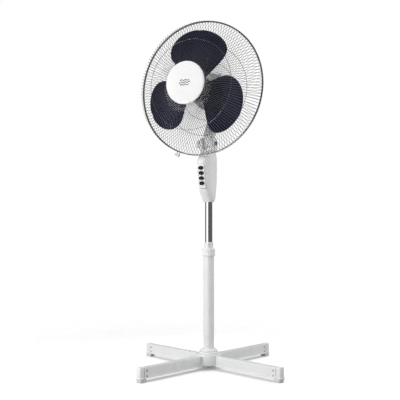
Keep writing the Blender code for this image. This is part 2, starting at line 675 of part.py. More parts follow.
def gearbox(head_axis):
    left, right = -0.0160, 0.0385
    top = 0.9700
    wall = GEARBOX_WALL
    front = MOTOR_REAR_Y
    solid = block((left, front, ARM_BOTTOM_Z), (right, GEARBOX_REAR_Y, top))
    box = piece("gear_housing", solid, "cast_alloy", parent=head_axis)
    inside = block((left + wall, front + wall, ARM_TOP_Z + 0.001), (right - wall, 0.2, top - wall))
    cut(box, inside)
    join(box, block((-0.020, 0.010, ARM_BOTTOM_Z), (0.020, front + 0.002, ARM_TOP_Z)))
    join(box, rod(PIVOT_RADIUS, 0.850, ARM_BOTTOM_Z + 0.001, 20), at=(0, PIVOT_Y, 0))
    cut(box, rod(SHAFT_RADIUS + 0.0012, 0.05, 0.08, 16), at=(0, 0, HEAD_Z), turn=TOWARDS_BACK)
    cut(box, rod(0.0038, 0.88, 0.92, 16), at=(CRANK_X, CRANK_Y, 0))
    cut(box, rod(0.0033, 0.96, 0.98, 16), at=(0, 0.088, 0))
    lid = block((left, GEARBOX_REAR_Y + GAP, ARM_BOTTOM_Z), (right, GEARBOX_REAR_Y + 0.0025, top))
    piece("gear_cover", lid, "cast_alloy", parent=head_axis)


def oscillation_gears(wheel_axis, crank_axis, link_axis):
    wheel_at = (WHEEL_X, WHEEL_Y, 0)
    body = prism(gear_outline(0.0098, WHEEL_TEETH, 0.0010), 0.9455, 0.9545)
    wheel = piece("worm_wheel", body, "nylon", wheel_at, wheel_axis)
    join(wheel, rod(0.0020, 0.9095, 0.9600, 12), wheel_at)
    join(wheel, prism(gear_outline(0.0026, PINION_TEETH, 0.0006), 0.9100, 0.9175), wheel_at)

    crank_at = (CRANK_X, CRANK_Y, 0)
    body = prism(gear_outline(0.0128, CRANK_TEETH, 0.0008), 0.9105, 0.9160)
    gear = piece("crank_gear", body, "nylon", crank_at, crank_axis)
    join(gear, rod(0.0035, 0.8935, 0.9115, 16), crank_at)
    disc = piece("crank_disc", rod(0.0200, 0.8880, 0.8932, 20), "zinc_steel", crank_at, crank_axis)
    join(disc, rod(0.0025, 0.8820, 0.8885, 12), (CRANK_X + CRANK_THROW, CRANK_Y, 0))

    # The link reaches from the neck's lug to just under the crank's pin.
    dx, dy = CRANK_X + CRANK_THROW - LUG_X, CRANK_Y - PIVOT_Y
    length = sqrt(dx * dx + dy * dy)
    radius = 0.0045
    outline = [(-radius * sin(pi * i / 8), -radius * cos(pi * i / 8)) for i in range(9)]
    outline += [(length + radius * sin(pi * i / 8), radius * cos(pi * i / 8)) for i in range(9)]
    lug_at = (LUG_X, PIVOT_Y, 0)
    link = piece("crank_link", prism(outline, LINK_LOW_Z, LINK_HIGH_Z), "zinc_steel", lug_at, link_axis,
                 (0, 0, atan2(dy, dx)))
    cut(link, rod(LINK_PIN_RADIUS + 0.0004, 0.87, 0.89, 16), lug_at)


def motor_cover(head_axis):
    wall, front, straight, rear = COVER_WALL, -0.004, 0.106, 0.138
    outside, inside = [(COVER_RADIUS, front)], [(COVER_RADIUS - wall, front)]
    for i in range(5):
        angle = radians(22.5 * i)
        reach = rear - straight
        outside.append((COVER_RADIUS * cos(angle), straight + reach * sin(angle)))
        inside.append(((COVER_RADIUS - wall) * cos(angle), straight + (reach - wall) * sin(angle)))
    outside[-1], inside[-1] = (0, rear), (0, rear - wall)
    cover = along_y("motor_cover", outside + inside[::-1], "white_plastic", head_axis, 32)
    # The bottom is open for the neck, the crank and its link, and the top for the clutch knob's stem.
    cut(cover, block((-0.045, 0.006, 0.87), (0.045, 0.1185, 0.906)))
    cut(cover, rod(0.0035, 1.00, 1.03, 16), (0, CLUTCH_Y, 0))


def clutch_knob(clutch_axis):
    top = HEAD_Z + COVER_RADIUS
    profile = [(0, 0.957), (0.003, 0.957), (0.003, top + 0.001), (0.0090, top + 0.001), (0.0095, top + 0.008),
               (0.0088, top + 0.015), (0.0060, top + 0.0165), (0, top + 0.017)]
    piece("clutch_knob", lathe(profile, 14), "white_plastic", (0, CLUTCH_Y, 0), clutch_axis)


# ---------------------------------------------------------------- cage


def wire_cage(name, rows, parent):
    """Radial straps along (radius, y) rows. A row ends in True where a ring runs from it to the next."""
    body = bmesh.new()
    verts = []
    for radius, y, _ in rows:
        line = []
        for spoke in range(SPOKES):
            for side in (-1, 1):
                angle = 2 * pi * spoke / SPOKES + side * GRILLE_WIRE / 2 / radius
                line.append(body.verts.new((radius * cos(angle), y, radius * sin(angle))))
        verts.append(line)
    for (first, second), (_, _, is_ring) in zip(zip(verts, verts[1:]), rows):
        for i in range(2 * SPOKES):
            if i % 2 and not is_ring:
                continue
            j = (i + 1) % (2 * SPOKES)
            body.faces.new((first[i], first[j], second[j], second[i]))
    obj = piece(name, body, "plated_wire", (0, 0, HEAD_Z), parent)
    solid = obj.modifiers.new("wire", "SOLIDIFY")
    solid.thickness = GRILLE_WIRE
    solid.offset = 0
    solid.use_even_offset = True
    return obj


def dome_depth(radius):
    """How far the front grille lies ahead of the rim plane at this radius."""
    inner, outer = BADGE_RADIUS + 0.003, RIM_RADIUS - WIRE_INSET
    share = (radius - inner) / (outer - inner)
    return WALL_DEPTH + (DOME_DEPTH - 0.002 - WALL_DEPTH) * (1 - share**1.6)


def front_grille(head_axis):
    wall = RIM_RADIUS - WIRE_INSET
    rows = [(wall, RIM_Y - 0.0025, True), (wall, RIM_Y - 0.0065, False), (wall, RIM_Y - WALL_DEPTH, False)]
    rings = ((0.211, False), (0.184, False), (MID_RING_RADIUS + RING_WIDTH / 2, True),
             (MID_RING_RADIUS - RING_WIDTH / 2, False), (0.112, False))
    for radius, is_ring in rings:
        rows.append((radius, RIM_Y - dome_depth(radius), is_ring))
    plate_y = RIM_Y - DOME_DEPTH + 0.002
    rows += [(BADGE_RADIUS + 0.003, plate_y, True), (0.050, plate_y, False)]
    wire_cage("front_grille", rows, head_axis)


def rear_grille(head_axis):
    wall = RIM_RADIUS - WIRE_INSET
    plate_y = MOTOR_FRONT_Y - GRILLE_WIRE / 2 - GAP
    rows = [(wall, RIM_Y + 0.0025, True), (wall, RIM_Y + 0.0065, False)]
    depth = plate_y - (RIM_Y + 0.0065)
    curve = ((0.98, False), (0.86, False), (0.70, True), (0.68, False), (0.45, False))
    for share, is_ring in curve:
        radius = wall * share
        out = (radius - REAR_PLATE_RADIUS) / (wall - REAR_PLATE_RADIUS)
        rows.append((radius, plate_y - depth * out**REAR_FULLNESS, is_ring))
    rows += [(0.080, plate_y, False), (0.062, plate_y, True), (0.0255, plate_y, False)]
    wire_cage("rear_grille", rows, head_axis)
    nut = [(0.0233, -0.0097), (0.0330, -0.0097), (0.0330, -0.0150), (0.0300, -0.0215), (0.0233, -0.0215)]
    along_y("grille_nut", nut, "white_plastic", head_axis, 20)


def badge(head_axis):
    face = RIM_Y - BADGE_DEPTH
    radius = BADGE_RADIUS
    profile = [(0, face), (0.030, face + 0.0003), (0.055, face + 0.0011), (radius - 0.002, face + 0.0020),
               (radius, face + 0.0040), (radius, face + 0.0060), (0.0470, face + 0.0060),
               (0.0470, face + 0.0120), (0.0440, face + 0.0120), (0.0440, face + 0.0060), (0, face + 0.0060)]
    along_y("badge_disc", profile, "white_gloss", head_axis, 32)


def rim_band(head_axis):
    """The hoop that clamps both grilles, with two lugs and a screw at its lower left."""
    inner = RIM_RADIUS - WIRE_INSET + GRILLE_WIRE / 2 + GAP
    half = BAND_HALF_WIDTH
    outer = RIM_RADIUS + 0.0005
    band = along_y("rim_band", [(inner, RIM_Y - half), (outer, RIM_Y - half), (outer, RIM_Y + half),
                                (inner, RIM_Y + half)], "plated_wire", head_axis, 60)
    centre, turn = (0, 0, HEAD_Z), (0, -CLAMP_ANGLE, 0)
    lug_half = half - 0.0003
    near, far = CLAMP_GAP / 2, CLAMP_GAP / 2 + LUG_THICKNESS
    for side in (-1, 1):
        low, high = sorted((side * near, side * far))
        lug = block((inner + 0.0005, RIM_Y - lug_half, low), (RIM_RADIUS + LUG_REACH, RIM_Y + lug_half, high))
        join(band, lug, centre, turn)
    cut(band, block((inner - 0.01, RIM_Y - 0.01, -near), (outer + 0.03, RIM_Y + 0.01, near)), centre, turn)
    reach = RIM_RADIUS + 0.0105
    screw_at = (reach * cos(CLAMP_ANGLE), RIM_Y, HEAD_Z + reach * sin(CLAMP_ANGLE))
    shank = 0.0014
    cut(band, rod(shank + 0.0004, -0.012, 0.012, 12), screw_at, turn)
    head_low = far + GAP
    screw = [(0, -0.0110), (shank, -0.0110), (shank, head_low), (0.0030, head_low),
             (0.0026, head_low + 0.0020), (0, head_low + 0.0025)]
    piece("band_screw", lathe(screw, 8), "zinc_steel", screw_at, head_axis, turn)


# ---------------------------------------------------------------- rotor


def blade_point(radius, side):
    """A point of the blade's middle surface; side runs from -1, the leading edge, to 1."""
    tip = BLADE_RADIUS + 0.0015
    widest, fullness = TRAILING_EDGE if side > 0 else LEADING_EDGE
    if radius > BLADE_SHOULDER:
        share = (radius - BLADE_SHOULDER) / (tip - BLADE_SHOULDER)
        angle = widest * sqrt(1 - share**fullness)
    else:
        share = (radius - BLADE_HUB_RADIUS) / (BLADE_SHOULDER - BLADE_HUB_RADIUS)
        angle = widest * (ROOT_SHARE + (1 - ROOT_SHARE) * sin(share * pi / 2))
    angle = side * angle
    y = BLADE_Y - BLADE_ADVANCE * angle + BLADE_CAMBER * (1 - side * side)
    return angle, y


def blade_body(turn, rows=7, columns=6):
    root = BLADE_HUB_RADIUS - 0.0012
    sections = []
    for i in range(rows + 1):
        radius = root + (BLADE_RADIUS - root) * sin(pi / 2 * i / rows)
        front, back = [], []
        for j in range(columns + 1):
            angle, y = blade_point(radius, 2 * j / columns - 1)
            x, z = radius * cos(angle + turn), radius * sin(angle + turn)
            front.append((x, y - BLADE_THICKNESS / 2, z))
            back.append((x, y + BLADE_THICKNESS / 2, z))
        sections.append(front + back[::-1])
    body = bmesh.new()
    verts = [[body.verts.new(p) for p in section] for section in sections]
    count = len(verts[0])
    for first, second in zip(verts, verts[1:]):
        for i in range(count):
            j = (i + 1) % count
            body.faces.new((first[i], first[j], second[j], second[i]))
    for section in (verts[0], verts[-1]):
        for j in range(columns):
            body.faces.new((section[j], section[j + 1], section[count - 2 - j], section[count - 1 - j]))
    return body


def rotor(rotor_axis):
    bore = SHAFT_RADIUS + GAP
    hub = BLADE_HUB_RADIUS
    profile = [(bore, -0.1200), (0.0300, -0.1200), (0.0390, -0.1170), (hub, -0.1090), (hub, -0.0640),
               (hub - 0.0025, -0.0640), (hub - 0.0025, -0.1080), (0.0100, -0.1140), (0.0100, -0.0800),
               (bore, -0.0800)]
    fan = along_y("fan_blade", profile, "blade_plastic", rotor_axis, 24)
    for i in range(BLADES):
        join(fan, blade_body(FIRST_BLADE + 2 * pi * i / BLADES), (0, 0, HEAD_Z))

    nut = [(bore, -0.1203), (0.0140, -0.1203), (0.0135, -0.1270), (0.0100, -0.1330), (0, -0.1350),
           (0, -0.1300), (bore, -0.1300)]
    along_y("blade_nut", nut, "blade_plastic", rotor_axis, 16)

    worm_radius = 0.0045
    shaft = [(0, -0.1290), (SHAFT_RADIUS, -0.1290), (SHAFT_RADIUS, 0.0670), (worm_radius, 0.0675),
             (worm_radius, 0.0870), (SHAFT_RADIUS, 0.0875), (SHAFT_RADIUS, 0.0930), (0, 0.0940)]
    along_y("rotor_shaft", shaft, "zinc_steel", rotor_axis, 12)
    core = [(bore, 0.0130), (0.0240, 0.0130), (0.0240, 0.0370), (bore, 0.0370)]
    along_y("rotor_core", core, "laminated_steel", rotor_axis, 20)


def build():
    for obj in list(bpy.data.objects):
        bpy.data.objects.remove(obj, do_unlink=True)

    base_bars()
    end_caps()
    base_hub()
    outer_tube()
    height_lock(empty("height_nut_axis", (0, 0, 0.395)))

    guide_axis = empty("height_axis", (0, 0, INNER_TUBE_BOTTOM_Z))
    column_axis = empty("column_axis", (0, 0, INNER_TUBE_BOTTOM_Z), guide_axis)
    inner_tube(guide_axis, column_axis)
    control_housing(column_axis)
    buttons(column_axis)
    tilt_yoke(column_axis)
    tilt_knob(empty("tilt_knob_axis", (KNOB_X, 0, TILT_Z), column_axis))

    tilt_axis = empty("tilt_axis", (0, 0, TILT_Z), column_axis)
    neck(tilt_axis)
    head_axis = empty("oscillation_axis", (0, PIVOT_Y, 0.880), tilt_axis)
    motor(head_axis)
    gearbox(head_axis)
    motor_cover(head_axis)
    clutch_knob(empty("clutch_axis", (0, CLUTCH_Y, HEAD_Z), head_axis))
    oscillation_gears(
        empty("worm_wheel_axis", (WHEEL_X, WHEEL_Y, HEAD_Z), head_axis),
        empty("crank_axis", (CRANK_X, CRANK_Y, 0.900), head_axis),
        empty("crank_link_axis", (LUG_X, PIVOT_Y, 0.879), tilt_axis),
    )
    front_grille(head_axis)
    rear_grille(head_axis)
    badge(head_axis)
    rim_band(head_axis)
    rotor(empty("rotor_axis", (0, BLADE_Y, HEAD_Z), head_axis))


build()
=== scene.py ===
"""Looks of the pedestal fan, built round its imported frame. Metres, +Z up, head facing -Y."""

import json
from math import cos, pi, radians, sin, sqrt

import bmesh
import bpy
from mathutils import Matrix, Vector

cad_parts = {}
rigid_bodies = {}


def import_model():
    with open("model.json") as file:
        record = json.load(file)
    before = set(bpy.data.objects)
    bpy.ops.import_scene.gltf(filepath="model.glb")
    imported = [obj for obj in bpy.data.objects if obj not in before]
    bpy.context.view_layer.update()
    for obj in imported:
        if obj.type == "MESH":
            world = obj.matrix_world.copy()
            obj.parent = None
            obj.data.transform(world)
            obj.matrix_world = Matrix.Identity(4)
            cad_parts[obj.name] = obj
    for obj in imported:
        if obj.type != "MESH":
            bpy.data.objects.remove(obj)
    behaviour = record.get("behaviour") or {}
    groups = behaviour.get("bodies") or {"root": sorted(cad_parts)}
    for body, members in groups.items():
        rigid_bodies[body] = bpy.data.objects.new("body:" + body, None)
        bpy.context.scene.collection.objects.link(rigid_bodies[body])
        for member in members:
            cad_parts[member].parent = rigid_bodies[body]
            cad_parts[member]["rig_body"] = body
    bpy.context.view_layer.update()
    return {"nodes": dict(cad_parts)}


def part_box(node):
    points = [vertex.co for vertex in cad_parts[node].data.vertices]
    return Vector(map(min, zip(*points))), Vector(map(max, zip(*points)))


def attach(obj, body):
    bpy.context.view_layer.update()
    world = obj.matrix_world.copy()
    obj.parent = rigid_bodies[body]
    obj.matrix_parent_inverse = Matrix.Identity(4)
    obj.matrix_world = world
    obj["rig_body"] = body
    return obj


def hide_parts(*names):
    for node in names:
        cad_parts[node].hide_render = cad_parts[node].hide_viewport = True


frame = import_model()
nodes = frame["nodes"]

LOW, HIGH = 0, 1


def middle(node):
    low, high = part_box(node)
    return (low + high) / 2


# Places and sizes that the frame gives
HEAD_Z = middle("rotor_core").z
RIM_Y = middle("rim_band").y
RIM_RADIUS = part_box("rim_band")[HIGH].x
WIRE_RADIUS = RIM_RADIUS - 0.0040  # where the wires run along the rim, inside the hoop
BADGE_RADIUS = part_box("badge_disc")[HIGH].x
BADGE_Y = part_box("badge_disc")[LOW].y
REAR_PLATE_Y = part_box("rear_grille")[HIGH].y - 0.0015  # middle of the rear grille's wires, where flat
BLADE_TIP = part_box("fan_blade")[HIGH].z - HEAD_Z
TILT_Z = middle("tilt_bolt").z
TUBE_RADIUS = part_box("outer_tube")[HIGH].x
TUBE_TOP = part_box("outer_tube")[HIGH].z
CHROME_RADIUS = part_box("inner_tube")[HIGH].x
HOUSING_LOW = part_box("control_housing_front")[LOW].z
HOUSING_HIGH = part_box("control_housing_front")[HIGH].z
HOUSING_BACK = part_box("control_housing_rear")[HIGH].y
BAR_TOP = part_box("base_bar_upper")[HIGH].z
BAR_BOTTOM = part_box("base_bar_lower")[LOW].z

# The bars' angles and section, as in the CAD
BASE_TURN = radians(28)
BAR_ANGLES = [BASE_TURN + radians(45 + 90 * i) for i in range(4)]
BAR_HALF = 0.296  # half a bar's length
BAR_SIDE = 0.0100  # half its width
BAR_LIP = 0.0140  # half its width across the bottom edges that are turned outwards
BAR_STEEL = 0.0015

CLEARANCE = 0.0003  # between parts that fit into each other

FRONT_Z_TO_Y = Matrix.Rotation(-pi / 2, 4, "X")  # +Z to +Y
Z_TO_FRONT = Matrix.Rotation(pi / 2, 4, "X")  # +Z to -Y
Z_TO_RIGHT = Matrix.Rotation(pi / 2, 4, "Y")  # +Z to +X
HEAD_AXIS = Matrix.Translation((0, 0, HEAD_Z)) @ FRONT_Z_TO_Y  # (radius, y) profiles go round the rotor


def about_z(angle):
    return Matrix.Rotation(angle, 4, "Z")


def at(x=0.0, y=0.0, z=0.0, turn=None):
    return Matrix.Translation((x, y, z)) @ (turn or Matrix.Identity(4))


# ---- materials


def set_inputs(node, **sockets):
    for name, value in sockets.items():
        node.inputs[name.replace("_", " ")].default_value = value


def node_of(tree, kind, **sockets):
    node = tree.nodes.new(kind)
    set_inputs(node, **sockets)
    return node


def noise(tree, where, scale, detail=3.0, roughness=0.55):
    made = node_of(tree, "ShaderNodeTexNoise", Scale=scale, Detail=detail, Roughness=roughness)
    tree.links.new(where, made.inputs["Vector"])
    return made.outputs["Fac"]


def spread(tree, value, low, high, start=0.3, end=0.7):
    """A value between start and end mapped to low and high."""
    made = node_of(tree, "ShaderNodeMapRange", From_Min=start, From_Max=end, To_Min=low, To_Max=high)
    tree.links.new(value, made.inputs["Value"])
    return made.outputs["Result"]


def mix(tree, share, first, second):
    made = tree.nodes.new("ShaderNodeMix")
    made.data_type = "RGBA"
    tree.links.new(share, made.inputs["Factor"])
    for socket, value in ((made.inputs[6], first), (made.inputs[7], second)):
        if isinstance(value, tuple):
            socket.default_value = (*value, 1)
        else:
            tree.links.new(value, socket)
    return made.outputs[2]


def finish(name, dark, light, rough, metallic=0.0, patch=14.0, grain=900.0, relief=0.00003, bands=None,
           streaks=None, **sockets):
    """A procedural surface: patchy tone and gloss, a fine grain in relief, and optional bands along Y."""
    made = bpy.data.materials.new(name)
    made.use_nodes = True
    tree = made.node_tree
    shader = tree.nodes["Principled BSDF"]
    where = node_of(tree, "ShaderNodeTexCoord").outputs["Object"]
    if streaks:
        stretch = node_of(tree, "ShaderNodeMapping", Scale=streaks)
        tree.links.new(where, stretch.inputs["Vector"])
        where = stretch.outputs["Vector"]
    patches = noise(tree, where, patch)
    colour = mix(tree, spread(tree, patches, 0, 1), dark, light)
    height = noise(tree, where, grain, 2.0)
    if bands:
        lines = node_of(tree, "ShaderNodeTexWave", Scale=bands, Distortion=0.4, Detail=1.0)
        lines.bands_direction = "Y"
        tree.links.new(where, lines.inputs["Vector"])
        height = lines.outputs["Fac"]
        colour = mix(tree, lines.outputs["Fac"], tuple(0.45 * c for c in dark), colour)
    bump = node_of(tree, "ShaderNodeBump", Strength=1.0, Distance=relief)
    tree.links.new(height, bump.inputs["Height"])
    tree.links.new(bump.outputs["Normal"], shader.inputs["Normal"])
    tree.links.new(colour, shader.inputs["Base Color"])
    tree.links.new(spread(tree, patches, rough * 0.85, rough * 1.15), shader.inputs["Roughness"])
    set_inputs(shader, Metallic=metallic, **sockets)
    return made


# The surface of each of the record's slots
SURFACES = {
    "white_steel": dict(dark=(0.78, 0.785, 0.79), light=(0.83, 0.835, 0.84), rough=0.30, grain=420,
                        relief=0.00004, Coat_Weight=0.15),
    "white_plastic": dict(dark=(0.80, 0.805, 0.81), light=(0.85, 0.855, 0.86), rough=0.38, grain=1500),
    "white_gloss": dict(dark=(0.77, 0.77, 0.77), light=(0.81, 0.81, 0.81), rough=0.22, grain=90,
                        relief=0.00002, Specular_IOR_Level=0.3),
    "foot_rubber": dict(dark=(0.66, 0.66, 0.68), light=(0.73, 0.73, 0.75), rough=0.75, grain=1200,
                        relief=0.00008),
    "plated_wire": dict(dark=(0.50, 0.51, 0.53), light=(0.62, 0.63, 0.65), rough=0.18, metallic=1.0,
                        grain=500, relief=0.00002),
    "blade_plastic": dict(dark=(0.006, 0.007, 0.021), light=(0.011, 0.012, 0.033), rough=0.30, patch=9,
                          grain=60, relief=0.00004, Specular_IOR_Level=0.1),
    "black_plastic": dict(dark=(0.006, 0.006, 0.010), light=(0.012, 0.012, 0.018), rough=0.22, grain=1200,
                          relief=0.00002),
    "chrome": dict(dark=(0.62, 0.63, 0.66), light=(0.70, 0.71, 0.74), rough=0.08, metallic=1.0, patch=40,
                   grain=260, relief=0.000006, streaks=(1, 1, 0.04)),
    "zinc_steel": dict(dark=(0.34, 0.35, 0.37), light=(0.46, 0.47, 0.49), rough=0.34, metallic=1.0,
                       patch=160, grain=1400),
    "cast_alloy": dict(dark=(0.36, 0.37, 0.38), light=(0.47, 0.48, 0.49), rough=0.52, metallic=1.0,
                       patch=60, grain=800, relief=0.0002),
    "laminated_steel": dict(dark=(0.20, 0.20, 0.21), light=(0.28, 0.28, 0.29), rough=0.45, metallic=1.0,
                            patch=60, relief=0.0002, bands=300),
    "nylon": dict(dark=(0.72, 0.68, 0.56), light=(0.80, 0.77, 0.67), rough=0.48, grain=1100),
}
FINISHES = {slot: finish(slot, **looks) for slot, looks in SURFACES.items()}

# Two surfaces of the looks only, without a slot
MARK_INK = finish("mark_ink", (0.03, 0.03, 0.05), (0.05, 0.05, 0.07), 0.45, relief=0.00001)
COPPER = finish("copper_winding", (0.36, 0.13, 0.05), (0.50, 0.20, 0.08), 0.35, 0.8, patch=200, grain=1800,
                relief=0.0001)


# ---- mesh tools


def curve_through(points, steps):
    """A smooth curve through points of any dimension, as vectors."""
    rows = [Vector(p) for p in points]
    rows = [2 * rows[0] - rows[1]] + rows + [2 * rows[-1] - rows[-2]]
    made = []
    for a, b, c, d in zip(rows, rows[1:], rows[2:], rows[3:]):
        for i in range(steps):
            t = i / steps
            square, cube = (2 * a - 5 * b + 4 * c - d) * t * t, (3 * b - a - 3 * c + d) * t**3
            made.append(0.5 * (2 * b + (c - a) * t + square + cube))
    return made + [rows[-2]]


def fillet(points, radius, closed=False, steps=3):
    """The outline with its corners rounded."""
    rows = [Vector(p) for p in points]
    made = []
    for i, corner in enumerate(rows):
        if not closed and i in (0, len(rows) - 1):
            made.append(corner)
            continue
        before, after = rows[i - 1], rows[(i + 1) % len(rows)]
        reach = min(radius, (before - corner).length * 0.45, (after - corner).length * 0.45)
        start = corner + (before - corner).normalized() * reach
        end = corner + (after - corner).normalized() * reach
        for k in range(steps + 1):
            t = k / steps
            made.append(start * (1 - t) ** 2 + corner * 2 * t * (1 - t) + end * t * t)
    return [tuple(p) for p in made]


def arc(radius, start, end, steps, centre=(0, 0)):
    angles = [start + (end - start) * i / steps for i in range(steps + 1)]
    return [(centre[0] + radius * cos(a), centre[1] + radius * sin(a)) for a in angles]


def round_head(radius, y, angle):
    """The point at a radius and an angle round the rotor's axis."""
    return (radius * cos(angle), y, HEAD_Z + radius * sin(angle))


def join_rows(body, rows, closed=False):
    """Adds the faces between rows of vertices, each of which closes on itself."""
    pairs = list(zip(rows, rows[1:]))
    if closed:
        pairs.append((rows[-1], rows[0]))
    for first, second in pairs:
        for i in range(len(first)):
            j = (i + 1) % len(first)
            body.faces.new((first[i], first[j], second[j], second[i]))


def skin(rows, capped=False):
    """A body through rows of points, each of which closes on itself; its two ends may be capped."""
    body = bmesh.new()
    verts = [[body.verts.new(p) for p in row] for row in rows]
    join_rows(body, verts)
    if capped:
        body.faces.new(verts[0])
        body.faces.new(verts[-1])
    return body


def lathe(profile, steps=64):
    """A body turned about Z from (radius, height) points; radius 0 at both ends, or a closed loop."""
    on_axis = 1e-7
    body = bmesh.new()
    rows = []
    for radius, height in profile:
        angles = [2 * pi * i / steps for i in range(steps if radius > on_axis else 1)]
        rows.append([body.verts.new((radius * cos(a), radius * sin(a), height)) for a in angles])
    pairs = list(zip(rows, rows[1:]))
    if profile[0][0] > on_axis:
        pairs.append((rows[-1], rows[0]))
    for first, second in pairs:
        for i in range(steps):
            j = (i + 1) % steps
            corners = [row[k % len(row)] for row, k in ((first, i), (first, j), (second, j), (second, i))]
            corners = list(dict.fromkeys(corners))
            if len(corners) > 2:
                body.faces.new(corners)
    return body


def rod(radius, low, high, edge=0.0006, steps=32):
    return lathe(fillet([(0, low), (radius, low), (radius, high), (0, high)], edge), steps)


def plain_rod(radius, low, high, steps=64):
    """A cylinder with sharp ends, to cut with."""
    return lathe([(0, low), (radius, low), (radius, high), (0, high)], steps)


def prism(outline, low, high, edge=0.0):
    """An outline in X and Y, extruded along Z, with its rims rounded by insetting."""
    if not edge:
        return skin([[(x, y, low) for x, y in outline], [(x, y, high) for x, y in outline]], capped=True)
    rows = []
    steps = 3
    for i in range(steps + 1):
        angle = pi / 2 * i / steps
        rows.append((edge * (1 - sin(angle)), low + edge * (1 - cos(angle))))
    rows += [(inset, high - (height - low)) for inset, height in reversed(rows)]
    return skin([[(x, y, height) for x, y in shrunk(outline, inset)] for inset, height in rows], capped=True)


def shrunk(outline, inset):
    """The outline moved inwards along the mean of its two sides' normals; it runs anticlockwise."""
    sharpest = 0.25  # keeps the points of sharp corners from running away
    made = []
    for i, (x, y) in enumerate(outline):
        ax, ay = outline[i - 1]
        bx, by = outline[(i + 1) % len(outline)]
        first = Vector((-(y - ay), x - ax)).normalized()
        second = Vector((-(by - y), bx - x)).normalized()
        normal = first + second
        scale = inset / max(sharpest, normal.length_squared / 2)
        made.append((x + normal.x * scale, y + normal.y * scale))
    return made


def lobed(radius, depth, lobes, steps):
    """A closed outline whose radius swings by a depth as it goes round."""
    made = []
    for i in range(steps):
        angle = 2 * pi * i / steps
        reach = radius + depth * cos(lobes * angle)
        made.append((reach * cos(angle), reach * sin(angle)))
    return made


def block(low, high, edge=0.0):
    outline = [(low[0], low[1]), (high[0], low[1]), (high[0], high[1]), (low[0], high[1])]
    if edge:
        outline = fillet(outline, edge, closed=True)
    return prism(outline, low[2], high[2], edge)


def tube(body, path, radius, sides=6, closed=False):
    """Adds a round wire along points to a body; its section is carried along without twisting."""
    path = [Vector(p) for p in path]
    count = len(path)
    side = None
    rows = []
    for i, point in enumerate(path):
        before = path[i - 1] if i or closed else point
        after = path[(i + 1) % count] if i < count - 1 or closed else point
        along = (after - before).normalized()
        if side is None:
            side = along.orthogonal()
        side = (side - along * side.dot(along)).normalized()
        up = along.cross(side)
        angles = [2 * pi * k / sides for k in range(sides)]
        rows.append([body.verts.new(point + radius * (cos(a) * side + sin(a) * up)) for a in angles])
    join_rows(body, rows, closed)
    if not closed:
        body.faces.new(rows[0][::-1])
        body.faces.new(rows[-1])


def mesh_of(body, name):
    mesh = bpy.data.meshes.new(name)
    body.to_mesh(mesh)
    body.free()
    return mesh


def linked(name, data):
    """An object in the scene."""
    made = bpy.data.objects.new(name, data)
    bpy.context.scene.collection.objects.link(made)
    return made


def solid(name, body):
    """The body as an object, with its faces pointing out."""
    bmesh.ops.recalc_face_normals(body, faces=body.faces)
    return linked(name, mesh_of(body, name))


def merged(*bodies):
    """Several bodies as one."""
    whole = bmesh.new()
    for body in bodies:
        mesh = mesh_of(body, "part")
        whole.from_mesh(mesh)
        bpy.data.meshes.remove(mesh)
    return whole


def placed(body, matrix):
    bmesh.ops.transform(body, matrix=matrix, verts=body.verts)
    return body


def oval(body, width, height):
    """A body turned about Z, widened along X from its height."""
    bmesh.ops.scale(body, vec=(width / height, 1, 1), verts=body.verts)
    return body


def settled(obj, angle):
    """Applies the piece's modifiers to its mesh and shades it."""
    if obj.modifiers:
        bpy.context.view_layer.update()
        evaluated = obj.evaluated_get(bpy.context.evaluated_depsgraph_get())
        mesh = bpy.data.meshes.new_from_object(evaluated)
        old = obj.data
        obj.modifiers.clear()
        obj.data = mesh
        bpy.data.meshes.remove(old)
    obj.data.shade_smooth()
    obj.data.set_sharp_from_angle(angle=radians(angle))


def piece(name, body, surface, rides, instead_of=None, cuts=(), edge=0.0, angle=32):
    """One visible piece in the row frame: cut, with its edges rounded, riding on a CAD body.

    The surface is a slot's name, or a material of the looks only. Shading breaks at the angle, in degrees.
    """
    obj = solid(name, body)
    has_slot = isinstance(surface, str)
    obj.data.materials.append(FINISHES[surface] if has_slot else surface)
    helpers = [solid(name + "_cut", cutter) for cutter in cuts]
    for helper in helpers:
        modifier = obj.modifiers.new("cut", "BOOLEAN")
        modifier.operation = "DIFFERENCE"
        modifier.solver = "EXACT"
        modifier.object = helper
    if helpers:
        settled(obj, angle)
    for helper in helpers:
        bpy.data.objects.remove(helper)
    if edge:
        bevel = obj.modifiers.new("edge", "BEVEL")
        bevel.width = edge
        bevel.segments = 3
        bevel.limit_method = "ANGLE"
        bevel.angle_limit = radians(40)
    settled(obj, angle)
    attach(obj, rides)
    if instead_of:
        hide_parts(instead_of)


def moulded(node, body, rides, surface="white_plastic", **rest):
    """A moulded piece instead of its CAD node."""
    piece(node + "_moulded", body, surface, rides, node, **rest)


def pan_head(radius, height):
    """A screw's head on Z = 0 with a cross recess, as (body, cuts)."""
    profile = [(0, -0.0005), (radius, -0.0005), (radius, height * 0.35)]
    profile += [(radius * cos(a), height * (0.35 + 0.65 * sin(a))) for a in (pi / 8, pi / 4, pi * 3 / 8)]
    head = lathe(profile + [(0, height)], 20)
    reach, half, floor = radius * 0.55, radius * 0.13, height * 0.45
    cross = [block((-reach, -half, floor), (reach, half, height * 2)),
             block((-half, -reach, floor), (half, reach, height * 2))]
    return head, cross


def screw_head(name, matrix, rides, radius, height, instead_of=None):
    head, cross = pan_head(radius, height)
    cuts = [placed(cut, matrix) for cut in cross]
    piece(name, placed(head, matrix), "zinc_steel", rides, instead_of, cuts=cuts)


# ---- base


